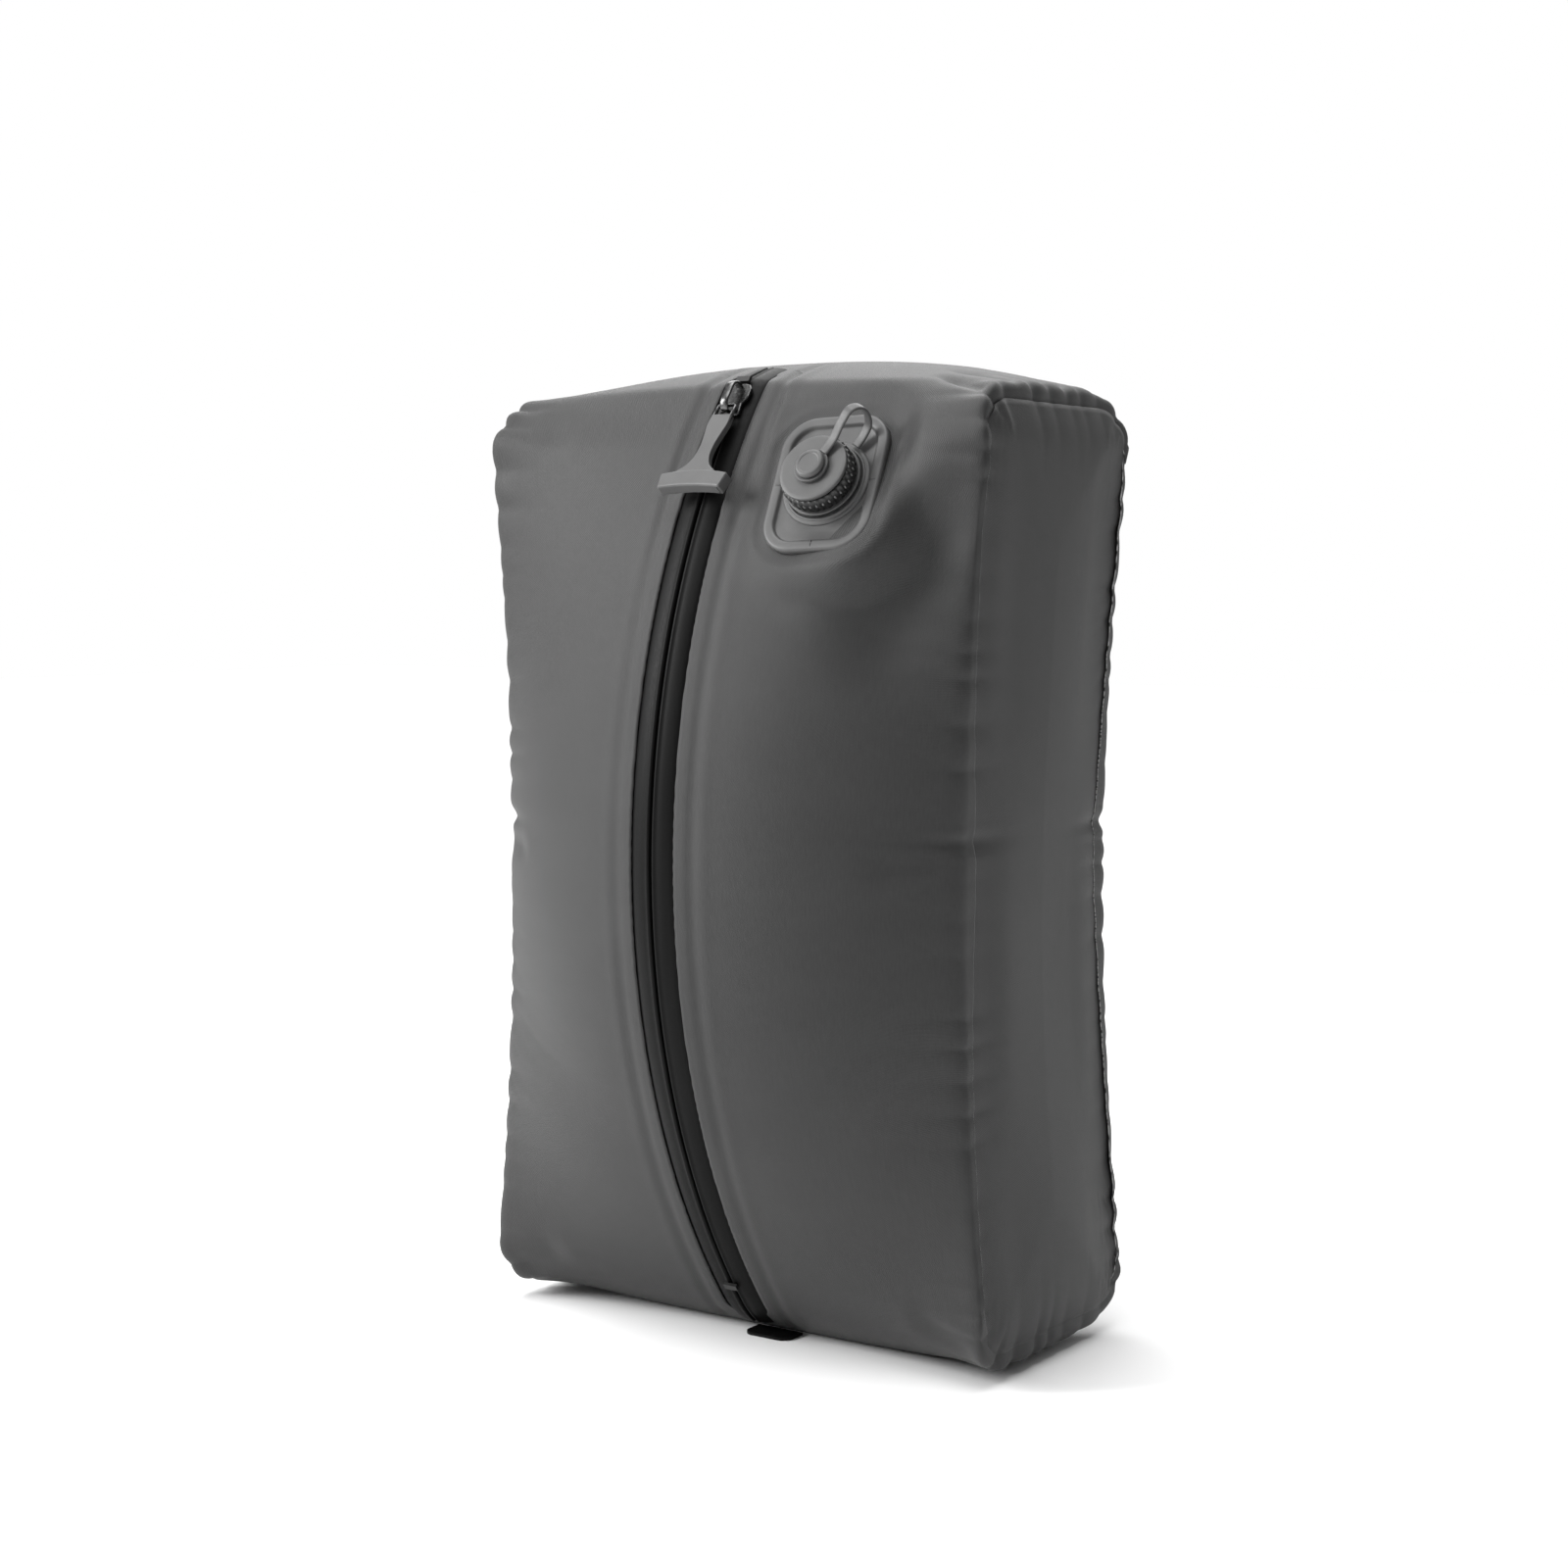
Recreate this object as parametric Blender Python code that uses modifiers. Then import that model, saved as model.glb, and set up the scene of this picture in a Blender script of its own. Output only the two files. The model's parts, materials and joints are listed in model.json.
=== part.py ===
"""Airtight packing cube: a welded fabric bag with a waterproof zip and a screw-cap air valve.

Metres, +Z up. The front with the zip faces -Y, the valve is on the +X side of the zip.
The origin is on the surface that the bag stands on, in the middle of its flat base patch.
"""
import math

import bmesh
import bpy
import numpy as np
from mathutils import Matrix, Vector

# ---- driving dimensions -------------------------------------------------------------------

GAP = 0.0003                    # clearance between pieces that touch

HALF_DEPTH = 0.0575             # side panels, front to back, from the middle
SEAM_LOW = 0.0078               # lowest and highest point of a side panel's seam
SEAM_HIGH = 0.3890
SEAM_CORNER = 0.012             # rounding of the side panel's corners
HALF_WIDTH_MID = 0.1110         # from the middle to the side seam, at mid height
FLARE_TOP = 0.0120              # how much further out the seams stand at the top corners
FLARE_BOTTOM = 0.0120
CROWN_POWER = 2.4               # how flat the front is across its middle
FABRIC = 0.0014                 # wall of the bag
LAP = 0.011                     # width of the welded lap of the wrap on the side panels
HUB_Z = 0.200                   # the profiles are drawn as seen from this height

ZIP_AXIS_Y = 0.2095             # centre of the arc that the zip follows
ZIP_AXIS_Z = 0.2015
ZIP_RADIUS = 0.3150
ZIP_ARC_TOP = math.radians(36.7)
ZIP_ARC_BOTTOM = math.radians(-36.0)
SLOT_HALF = 0.0103              # half width of the opening that shows the zip
TOP_SHOULDER = 0.010            # the tight turn above the zip's arc
TOP_SLOPE = math.radians(22.5)  # slope of the roof where that turn ends
ROOF_RADIUS = 0.135
BACK_TOP_RADIUS = 0.0256
BACK_RADIUS = 0.330
BACK_BULGE = 0.096              # furthest point of the back
BACK_ARC = math.radians(35.0)
BELLY = 0.004                   # how far the belly is pressed flat

SLIDER_ANGLE = math.radians(35.2)  # the slider's place on the arc when the bag is shut
SLIDER_HALF = 0.0080
SLIDER_TRAVEL = math.radians(67.5)
PIVOT_ALONG = -0.0045           # the pull's pivot from the slider's middle, along the zip
PIVOT_OUT = 0.0052              # and outwards from the zip
PULL_LEAN = math.radians(38.4)  # the pull's lean from the vertical

VALVE_X = 0.0555
VALVE_Z = 0.3490
VALVE_TURN = math.radians(3.7)  # how far the valve faces to the side
VALVE_LEAN = math.radians(29.1)  # and upwards
VALVE_ROLL = math.radians(2.6)
FLANGE_WIDTH = 0.047
FLANGE_HEIGHT = 0.060
FLANGE_CORNER = 0.014
FLANGE_RIM = 0.0046
FLANGE_SETTLE = 0.0005          # how far the skin lies under the flange
PRESS_MARGIN = 0.003            # the skin stays flat this far past the flange
PRESS_FADE = 0.016              # and is free again this much further out
FLANGE_PLATE = 0.0016
FLANGE_RIM_HIGH = 0.0032
NECK_OUTER = 0.0110
NECK_INNER = 0.0090
CAP_RADIUS = 0.01425
CAP_FOOT = 0.0159
CAP_LOW = 0.0039
CAP_HIGH = 0.0140
STRAP_WIDTH = 0.0040
STRAP_THICK = 0.0012
STRAP_HEADING = math.radians(54.8)


# ---- scene and materials ------------------------------------------------------------------

def clear_scene():
    for item in list(bpy.data.objects):
        bpy.data.objects.remove(item, do_unlink=True)


def make_collection(name):
    found = bpy.data.collections.new(name)
    bpy.context.scene.collection.children.link(found)
    return found


def make_material(name, color, roughness, metallic=0.0):
    material = bpy.data.materials.new(name)
    material.use_nodes = True
    shader = material.node_tree.nodes["Principled BSDF"]
    shader.inputs["Base Color"].default_value = (*color, 1.0)
    shader.inputs["Roughness"].default_value = roughness
    shader.inputs["Metallic"].default_value = metallic
    return material


clear_scene()
PARTS = make_collection("packing_cube")
CUTTERS = make_collection("cutters")

FABRIC_GREY = make_material("coated_fabric", (0.17, 0.17, 0.17), 0.75)
ZIP_BLACK = make_material("zip_tape", (0.02, 0.02, 0.02), 0.55)
GREY_PLASTIC = make_material("grey_plastic", (0.26, 0.26, 0.26), 0.45)
DARK_PLASTIC = make_material("dark_plastic", (0.03, 0.03, 0.03), 0.5)
RUBBER = make_material("seal_rubber", (0.05, 0.05, 0.05), 0.8)
GUNMETAL = make_material("gunmetal", (0.20, 0.20, 0.21), 0.25, 1.0)


# ---- building blocks ----------------------------------------------------------------------

def add_object(name, mesh, material, frame=None, parent=None, sharp=30.0):
    item = bpy.data.objects.new(name, mesh)
    PARTS.objects.link(item)
    mesh.materials.append(material)
    mesh.shade_smooth()
    mesh.set_sharp_from_angle(angle=math.radians(sharp))
    place(item, frame, parent)
    return item


def place(item, frame, parent):
    item.parent = parent
    if parent is not None:
        item.matrix_parent_inverse = parent.matrix_world.inverted()
    if frame is not None:
        item.matrix_world = frame


def make_empty(name, frame, parent=None):
    item = bpy.data.objects.new(name, None)
    PARTS.objects.link(item)
    place(item, frame, parent)
    bpy.context.view_layer.update()
    return item


def mesh_of(bm, name):
    bmesh.ops.recalc_face_normals(bm, faces=bm.faces)
    mesh = bpy.data.meshes.new(name)
    bm.to_mesh(mesh)
    bm.free()
    return mesh


def prism_mesh(name, outline, low, high):
    """A flat outline in X and Y, extruded from low to high along Z."""
    bm = bmesh.new()
    base = bm.faces.new([bm.verts.new((x, y, low)) for x, y in outline])
    grown = bmesh.ops.extrude_face_region(bm, geom=[base])
    top = [v for v in grown["geom"] if isinstance(v, bmesh.types.BMVert)]
    bmesh.ops.translate(bm, vec=(0.0, 0.0, high - low), verts=top)
    return mesh_of(bm, name)


def swept_mesh(name, sections):
    """A closed solid through rings of equal length, its two ends capped."""
    bm = bmesh.new()
    rings = [[bm.verts.new(point) for point in ring] for ring in sections]
    count = len(rings[0])
    for here, there in zip(rings, rings[1:]):
        for i in range(count):
            j = (i + 1) % count
            bm.faces.new((here[i], here[j], there[j], there[i]))
    bm.faces.new(list(reversed(rings[0])))
    bm.faces.new(rings[-1])
    return mesh_of(bm, name)


def turned(name, profile, material, frame, parent=None, steps=32):
    """A profile of (radius, height), running down its outer side, turned about local Z."""
    mesh = bpy.data.meshes.new(name)
    points = [(radius, 0.0, height) for radius, height in profile]
    edges = [(i, i + 1) for i in range(len(points) - 1)]
    if profile[0][0] > 0.0:
        edges.append((len(points) - 1, 0))
    mesh.from_pydata(points, edges, [])
    item = add_object(name, mesh, material, frame, parent)
    screw = item.modifiers.new("turn", "SCREW")
    screw.steps = steps
    screw.render_steps = steps
    screw.use_merge_vertices = True
    screw.merge_threshold = 0.00001
    return item


def as_cutter(item):
    for owner in list(item.users_collection):
        owner.objects.unlink(item)
    CUTTERS.objects.link(item)
    item.hide_render = True
    item.display_type = "WIRE"
    return item


def boolean(item, other, operation="DIFFERENCE"):
    step = item.modifiers.new(operation.lower(), "BOOLEAN")
    step.operation = operation
    step.solver = "EXACT"
    step.object = as_cutter(other)


def circle(radius, count, centre=(0.0, 0.0)):
    turns = [math.tau * i / count for i in range(count)]
    return [(centre[0] + radius * math.cos(a), centre[1] + radius * math.sin(a)) for a in turns]


def rounded_rectangle(width, height, corner, steps=6):
    points = []
    for quarter, (sx, sy) in enumerate(((1, 1), (-1, 1), (-1, -1), (1, -1))):
        cx = sx * (width / 2 - corner)
        cy = sy * (height / 2 - corner)
        for i in range(steps + 1):
            angle = (quarter + i / steps) * math.pi / 2
            points.append((cx + corner * math.cos(angle), cy + corner * math.sin(angle)))
    return points


def smooth_curve(points, count):
    """Evenly spaced points on a smooth curve through the given ones."""
    knots = np.array(points, dtype=float)
    steps = np.linalg.norm(np.diff(knots, axis=0), axis=1)
    at = np.concatenate(([0.0], np.cumsum(steps)))
    slopes = np.gradient(knots, at, axis=0)
    result = []
    for t in np.linspace(0.0, at[-1], count):
        i = min(int(np.searchsorted(at, t, side="right")) - 1, len(knots) - 2)
        span = at[i + 1] - at[i]
        k = (t - at[i]) / span
        blend = (1 + 2 * k) * (1 - k) ** 2 * knots[i] + k * (1 - k) ** 2 * span * slopes[i]
        blend += k * k * (3 - 2 * k) * knots[i + 1] + k * k * (k - 1) * span * slopes[i + 1]
        result.append(blend)
    return result


# ---- the bag's shape ----------------------------------------------------------------------

def zip_point(angle, out=0.0):
    """Depth and height on the zip's arc, and further out from it."""
    reach = ZIP_RADIUS + out
    return ZIP_AXIS_Y - reach * math.cos(angle), ZIP_AXIS_Z + reach * math.sin(angle)


def turn_points(start, heading, radius, new_heading, count):
    """Points on an arc that turns clockwise or back from one heading to another."""
    side = 1.0 if new_heading > heading else -1.0
    centre_y = start[0] - side * radius * math.sin(heading)
    centre_z = start[1] + side * radius * math.cos(heading)
    points = []
    for i in range(1, count + 1):
        now = heading + (new_heading - heading) * i / count
        points.append((centre_y + side * radius * math.sin(now),
                       centre_z - side * radius * math.cos(now)))
    return points


def arc_between(low, high, count):
    return [low + (high - low) * i / count for i in range(count + 1)]


# Seen from the side, the zip's line runs from under the belly, up the front and over the
# top shoulder to the roof. Headings are measured from +Y towards +Z.
ARC_LINE = [zip_point(a) for a in arc_between(ZIP_ARC_BOTTOM, ZIP_ARC_TOP, 60)]
TOP_TURN = turn_points(ARC_LINE[-1], math.pi / 2 - ZIP_ARC_TOP, TOP_SHOULDER, TOP_SLOPE, 8)
ROOF = turn_points(TOP_TURN[-1], TOP_SLOPE, ROOF_RADIUS, 0.0, 12)
BACK_TOP = turn_points(ROOF[-1], 0.0, BACK_TOP_RADIUS, BACK_ARC - math.pi / 2, 12)
BACK_CENTRE_Y = BACK_BULGE - BACK_RADIUS
BACK_LINE = [(BACK_CENTRE_Y + BACK_RADIUS * math.cos(a), ZIP_AXIS_Z + BACK_RADIUS * math.sin(a))
             for a in arc_between(BACK_ARC, -BACK_ARC, 40)]


def belly_turn(start, heading_from_flat):
    """The turn from the belly's lowest line up to the given point, lowest point first."""
    radius = (start[1] + BELLY) / (1 - math.cos(heading_from_flat))
    steps = arc_between(0.0, heading_from_flat, 12)[:-1]
    side = math.copysign(1.0, start[0])
    reach = radius * math.sin(heading_from_flat)
    base = start[0] - side * reach
    return [(base + side * radius * math.sin(a), radius * (1 - math.cos(a)) - BELLY)
            for a in steps]


FRONT_BELLY = belly_turn(ARC_LINE[0], math.pi / 2 + ZIP_ARC_BOTTOM)
BACK_BELLY = belly_turn(BACK_LINE[-1], math.pi / 2 - BACK_ARC)
CENTRE_LINE = FRONT_BELLY + ARC_LINE + TOP_TURN + ROOF + BACK_TOP + BACK_LINE
CENTRE_LINE += list(reversed(BACK_BELLY))


def seam_corners():
    """Points on the four rounded corners of the side panel, seen from the side."""
    middle = (SEAM_LOW + SEAM_HIGH) / 2
    outline = rounded_rectangle(2 * HALF_DEPTH, SEAM_HIGH - SEAM_LOW, SEAM_CORNER, 4)
    return [(y, z + middle) for y, z in outline]


def seam_line(spacing):
    """The side panel's whole outline, with points no further apart than the spacing."""
    outline = seam_corners()
    points = []
    for (y0, z0), (y1, z1) in zip(outline, outline[1:] + outline[:1]):
        count = max(1, math.ceil(math.hypot(y1 - y0, z1 - z0) / spacing))
        for i in range(count):
            share = i / count
            points.append((y0 + (y1 - y0) * share, z0 + (z1 - z0) * share))
    return points


def polar(points):
    """Bearing and distance of each point from the hub, sorted, for interpolation."""
    bearings = [math.atan2(z - HUB_Z, y) for y, z in points]
    reaches = [math.hypot(y, z - HUB_Z) for y, z in points]
    order = np.argsort(bearings)
    bearings = np.array(bearings)[order]
    reaches = np.array(reaches)[order]
    wrapped = np.concatenate((bearings - math.tau, bearings, bearings + math.tau))
    return wrapped, np.tile(reaches, 3)


CENTRE_POLAR = polar(CENTRE_LINE)
SEAM_POLAR = polar(seam_line(0.001))


def centre_reach(bearing):
    return float(np.interp(bearing, *CENTRE_POLAR))


def seam_reach(bearing):
    return float(np.interp(bearing, *SEAM_POLAR))


def seam_x(z):
    """Distance of the side seams from the middle: they draw in at mid height."""
    middle = (SEAM_LOW + SEAM_HIGH) / 2
    share = (z - middle) / (SEAM_HIGH - middle)
    flare = FLARE_TOP if share > 0 else FLARE_BOTTOM
    return HALF_WIDTH_MID + flare * share * share


def free_point(x, bearing):
    """A point on the outer skin, at a distance from the middle and a bearing from the hub."""
    edge = seam_reach(bearing)
    half = seam_x(HUB_Z + edge * math.sin(bearing))
    crown = 1 - min(1.0, abs(x) / half) ** CROWN_POWER
    reach = edge + crown * (centre_reach(bearing) - edge)
    z = max(0.0, HUB_Z + reach * math.sin(bearing))
    return x, reach * math.cos(bearing), z


def valve_frame():
    """The valve's frame on the skin: X across the flange, Y up it, Z out."""
    out = Vector((math.sin(VALVE_TURN) * math.cos(VALVE_LEAN),
                  -math.cos(VALVE_TURN) * math.cos(VALVE_LEAN), math.sin(VALVE_LEAN)))
    across = Vector((math.cos(VALVE_TURN), math.sin(VALVE_TURN), 0.0))
    across.rotate(Matrix.Rotation(VALVE_ROLL, 3, out))
    low, high = math.radians(95.0), math.radians(180.0)
    for _ in range(40):
        middle = (low + high) / 2
        if free_point(VALVE_X, middle)[2] > VALVE_Z:
            low = middle
        else:
            high = middle
    frame = Matrix((across, out.cross(across), out)).transposed().to_4x4()
    frame.translation = Vector(free_point(VALVE_X, low))
    return frame


VALVE_FRAME = valve_frame()
VALVE_INVERSE = VALVE_FRAME.inverted()


def bag_point(x, bearing):
    """The outer skin, drawn flat against the underside of the valve's flange."""
    point = free_point(x, bearing)
    local = VALVE_INVERSE @ Vector(point)
    past_x = max(0.0, abs(local.x) - FLANGE_WIDTH / 2)
    past_y = max(0.0, abs(local.y) - FLANGE_HEIGHT / 2)
    past = (math.hypot(past_x, past_y) - PRESS_MARGIN) / PRESS_FADE
    if local.z > -0.04 and past < 1.0:
        ease = min(1.0, 1.0 - past)
        local.z += (-FLANGE_SETTLE - local.z) * ease * ease * (3 - 2 * ease)
        point = tuple(VALVE_FRAME @ local)
    return point


def bearing_of(point):
    bearing = math.atan2(point[1] - HUB_Z, point[0])
    return bearing % math.tau


# ---- the bag's panels ---------------------------------------------------------------------

COLUMNS = (0.0, 0.10, 0.24, 0.40, 0.56, 0.72, 0.87, 1.0)


def panel_row(bearing):
    """One row of skin points from the left lap over the front to the right lap."""
    edge = seam_reach(bearing)
    half = seam_x(HUB_Z + edge * math.sin(bearing))
    right = [bag_point(SLOT_HALF + share * (half - SLOT_HALF), bearing) for share in COLUMNS]
    lap = (half, (edge - LAP) * math.cos(bearing), HUB_Z + (edge - LAP) * math.sin(bearing))
    right.append(lap)
    left = [(-x, y, z) for x, y, z in reversed(right)]
    return left + right


def panel_shell(name, bearings, is_slot):
    """A skin over the given bearings, open where is_slot says so, thickened inwards."""
    bm = bmesh.new()
    rows = [[bm.verts.new(point) for point in panel_row(b)] for b in bearings]
    middle = len(rows[0]) // 2 - 1
    for i in range(len(rows) - 1):
        for j in range(len(rows[0]) - 1):
            if j == middle and is_slot(bearings[i], bearings[i + 1]):
                continue
            bm.faces.new((rows[i][j], rows[i][j + 1], rows[i + 1][j + 1], rows[i + 1][j]))
    mesh = mesh_of(bm, name)
    item = add_object(name, mesh, FABRIC_GREY)
    if mesh.polygons[0].normal.dot(mesh.polygons[0].center - Vector((0.0, 0.0, HUB_Z))) < 0:
        mesh.flip_normals()
    wall = item.modifiers.new("wall", "SOLIDIFY")
    wall.thickness = FABRIC
    wall.offset = -1.0
    wall.use_even_offset = True
    return item


ROOF_BACK = bearing_of((HALF_DEPTH, SEAM_HIGH))
FLOOR_BACK = bearing_of((HALF_DEPTH, SEAM_LOW))
ZIP_TOP_END = bearing_of(ROOF[3])
ZIP_LOW_END = bearing_of(FRONT_BELLY[8])
BACK_GAP = 0.006


def wrap_bearings():
    """Rows for the wrap: close together where the skin turns, wider on the flats."""
    stops = [ROOF_BACK + BACK_GAP, math.radians(80.0), math.radians(90.0), ZIP_TOP_END]
    stops += [bearing_of(TOP_TURN[k]) for k in (7, 5, 3, 1)]
    stops += [bearing_of(zip_point(a)) for a in arc_between(ZIP_ARC_TOP, ZIP_ARC_BOTTOM, 20)]
    stops += [bearing_of(FRONT_BELLY[k]) for k in (10, 8, 5)]
    stops += [math.radians(a) for a in (262.0, 275.0, 279.0, 285.0)]
    stops.append(FLOOR_BACK - BACK_GAP)
    first, last = ROOF_BACK + BACK_GAP, FLOOR_BACK - BACK_GAP
    corners = [bearing_of(point) for point in seam_corners()]
    return spread_out(stops, [b for b in corners if first < b < last])


def spread_out(stops, corners):
    """Both lists of bearings in order, less the stops that crowd a corner's bearings."""
    kept = [b for b in stops if all(abs(b - c) > 0.012 for c in corners)]
    return sorted(kept + corners)


def in_zip(low, high):
    return low > ZIP_TOP_END - 1e-6 and high < ZIP_LOW_END + 1e-6


def back_bearings():
    first, last = FLOOR_BACK + BACK_GAP - math.tau, ROOF_BACK - BACK_GAP
    heights = arc_between(0.035, 0.365, 10)
    stops = [first, last] + [math.atan2(z - HUB_Z, HALF_DEPTH) for z in heights]
    corners = [math.atan2(z - HUB_Z, y) for y, z in seam_corners()]
    return spread_out(stops, [b for b in corners if first < b < last])


def make_bag():
    wrap = panel_shell("front_wrap", wrap_bearings(), in_zip)
    panel_shell("back_panel", back_bearings(), lambda low, high: False)
    for side, name in ((1, "side_panel_right"), (-1, "side_panel_left")):
        make_side_panel(name, side)
    return wrap


def make_side_panel(name, side):
    """A tall panel that lies inside the wrap's laps and swells slightly between them."""
    inset = FABRIC + 0.0050
    tuck = FABRIC + 0.0014
    swell = 0.0012
    bm = bmesh.new()
    rim_bearings = sorted({bearing_of(p) for p in seam_line(0.030)})
    shares = (1.0, 0.80, 0.52, 0.26)
    rings = []
    for share in shares:
        ring = []
        for bearing in rim_bearings:
            reach = (seam_reach(bearing) - inset) * share
            z = HUB_Z + reach * math.sin(bearing)
            puff = swell * (1 - min(1.0, share / 0.80) ** 2)
            x = seam_x(z) - tuck + puff
            ring.append(bm.verts.new((side * x, reach * math.cos(bearing), z)))
        rings.append(ring)
    count = len(rim_bearings)
    for outer, inner in zip(rings, rings[1:]):
        for i in range(count):
            j = (i + 1) % count
            bm.faces.new((outer[i], outer[j], inner[j], inner[i]))
    hub = bm.verts.new((side * (seam_x(HUB_Z) - tuck + swell), 0.0, HUB_Z))
    for i in range(count):
        bm.faces.new((rings[-1][i], rings[-1][(i + 1) % count], hub))
    mesh = mesh_of(bm, name)
    if mesh.polygons[0].normal.x * side < 0:
        mesh.flip_normals()
    item = add_object(name, mesh, FABRIC_GREY)
    wall = item.modifiers.new("wall", "SOLIDIFY")
    wall.thickness = FABRIC
    wall.offset = -1.0


# ---- the zip ------------------------------------------------------------------------------

def zip_stations(low_cut=0, high_cut=0):
    """Places along the zip: depth, height and the outward direction at each."""
    line = FRONT_BELLY[9:] + ARC_LINE[::2] + TOP_TURN[1::2] + ROOF[0:3]
    line = line[low_cut:len(line) - high_cut]
    points = np.array(line)
    along = np.gradient(points, axis=0)
    along /= np.linalg.norm(along, axis=1)[:, None]
    return [(p[0], p[1], -a[1], a[0]) for p, a in zip(points, along)]


def along_zip(name, section, stations, material):
    """Sweep a section of (distance from the middle, distance out) along the zip."""
    rings = []
    for y, z, out_y, out_z in stations:
        rings.append([(x, y + out * out_y, z + out * out_z) for x, out in section])
    return add_object(name, swept_mesh(name, rings), material)


TAPE_SECTION = (
    (0.0009, 0.0002), (0.0009, 0.0015), (0.0020, 0.0015), (0.0098, -0.0002),
    (0.0098, -0.0021), (0.0160, -0.0029), (0.0160, -0.0040), (0.0084, -0.0032),
    (0.0084, -0.0011), (0.0020, 0.0002),
)
COIL_SECTION = ((0.0009, -0.0024), (0.0009, -0.0002), (0.0034, -0.0004), (0.0034, -0.0024))


def make_zip():
    stations = zip_stations()
    for side, word in ((1, "right"), (-1, "left")):
        tape = [(side * x, out) for x, out in TAPE_SECTION]
        coil = [(side * x, out) for x, out in COIL_SECTION]
        along_zip(f"zip_tape_{word}", tape, stations, ZIP_BLACK)
        along_zip(f"zip_coil_{word}", coil, zip_stations(1, 1), ZIP_BLACK)
    dock = ((-0.0125, -0.0064), (-0.0125, -0.0044), (0.0125, -0.0044), (0.0125, -0.0064))
    along_zip("zip_dock_top", dock, stations[-6:], RUBBER)
    along_zip("zip_dock_bottom", dock, stations[:4], RUBBER)
    stop = ((-0.0032, 0.0019), (-0.0032, 0.0033), (0.0032, 0.0033), (0.0032, 0.0019))
    along_zip("zip_stop_top", stop, stop_stations(ZIP_ARC_TOP + 0.004), ZIP_BLACK)
    lowest = SLIDER_ANGLE - SLIDER_TRAVEL - SLIDER_HALF / ZIP_RADIUS
    along_zip("zip_stop_bottom", stop, stop_stations(lowest - 0.011), ZIP_BLACK)


def stop_stations(angle):
    """The two ends of an end stop's short stretch of the arc."""
    result = []
    for at in (angle, angle + 0.0026 / ZIP_RADIUS):
        y, z = zip_point(at)
        result.append((y, z, -math.cos(at), math.sin(at)))
    return result


# ---- the slider and its pull --------------------------------------------------------------

def zip_frame(angle):
    """A frame on the arc: X across the zip, Y along it upwards, Z outwards."""
    y, z = zip_point(angle)
    across = Vector((1.0, 0.0, 0.0))
    along = Vector((0.0, math.sin(angle), math.cos(angle)))
    out = Vector((0.0, -math.cos(angle), math.sin(angle)))
    frame = Matrix((across, along, out)).transposed().to_4x4()
    frame.translation = Vector((0.0, y, z))
    return frame


def in_frame(mesh, frame, origin):
    """Move a mesh drawn in a frame so that its object's origin can lie elsewhere."""
    mesh.transform(origin.inverted() @ frame)
    return mesh


def slider_outline(half, nose, tail):
    """The slider's plate: broad shoulders at the upper end, narrower at the tail."""
    right = [(tail, -half), (tail + 0.0012, -half + 0.0012), (tail + 0.0006, -0.002)]
    right += [(nose, 0.0015), (nose, half - 0.0025), (nose - 0.0022, half)]
    left = [(-x, y) for x, y in reversed(right)]
    return right + left


def make_slider():
    frame = zip_frame(SLIDER_ANGLE)
    axis = Matrix.Translation((0.0, ZIP_AXIS_Y, ZIP_AXIS_Z))
    empty = make_empty("zip_travel_axis", axis)
    top = prism_mesh("zip_slider", slider_outline(SLIDER_HALF, 0.0066, 0.0040), 0.0019, 0.0034)
    slider = add_object("zip_slider", in_frame(top, frame, axis), GUNMETAL, axis, empty)
    plate = slider_outline(SLIDER_HALF, 0.0056, 0.0034)
    under = add_object("slider_under", prism_mesh("slider_under", plate, -0.0042, -0.0028),
                       GUNMETAL, frame)
    web_outline = [(-0.0006, 0.0005), (0.0006, 0.0005), (0.0006, 0.0070), (-0.0006, 0.0070)]
    web = add_object("slider_web", prism_mesh("slider_web", web_outline, -0.0036, 0.0026),
                     GUNMETAL, frame)
    boolean(slider, under, "UNION")
    boolean(slider, web, "UNION")
    make_bridge(frame, axis, empty)
    make_pull(frame, empty)


BRIDGE_WIDTH = 0.0034
BRIDGE_THICK = 0.0012


def make_bridge(frame, axis, parent):
    """The raised strap over the slider that the pull hangs on."""
    line = [(-0.0066, 0.0038), (-0.0068, 0.0062), (-0.0052, 0.0078), (0.0, 0.0084),
            (0.0048, 0.0080), (0.0066, 0.0062), (0.0068, 0.0038)]
    centre = smooth_curve(line, 13)
    rings = []
    for i, (along, out) in enumerate(centre):
        before = centre[max(0, i - 1)]
        after = centre[min(len(centre) - 1, i + 1)]
        run = (after - before) / np.linalg.norm(after - before)
        normal = np.array((-run[1], run[0])) * BRIDGE_THICK / 2
        low = (along - normal[0], out - normal[1])
        high = (along + normal[0], out + normal[1])
        half = BRIDGE_WIDTH / 2
        rings.append([(-half, *low), (half, *low), (half, *high), (-half, *high)])
    mesh = in_frame(swept_mesh("slider_bridge", rings), frame, axis)
    add_object("slider_bridge", mesh, GUNMETAL, axis, parent)


def make_pull(slider_frame, parent):
    pivot_point = slider_frame @ Vector((0.0, PIVOT_ALONG, PIVOT_OUT))
    down = Vector((0.0, -math.sin(PULL_LEAN), -math.cos(PULL_LEAN)))
    out = Vector((0.0, -math.cos(PULL_LEAN), math.sin(PULL_LEAN)))
    across = down.cross(out)
    frame = Matrix((across, down, out)).transposed().to_4x4()
    frame.translation = pivot_point
    empty = make_empty("pull_swing_axis", frame, parent)
    make_pull_link(frame, empty)
    make_pull_handle(frame, empty)


LINK_HALF = 0.0042
WIRE_HALF = 0.0007
LEG_END = 0.0078


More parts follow.
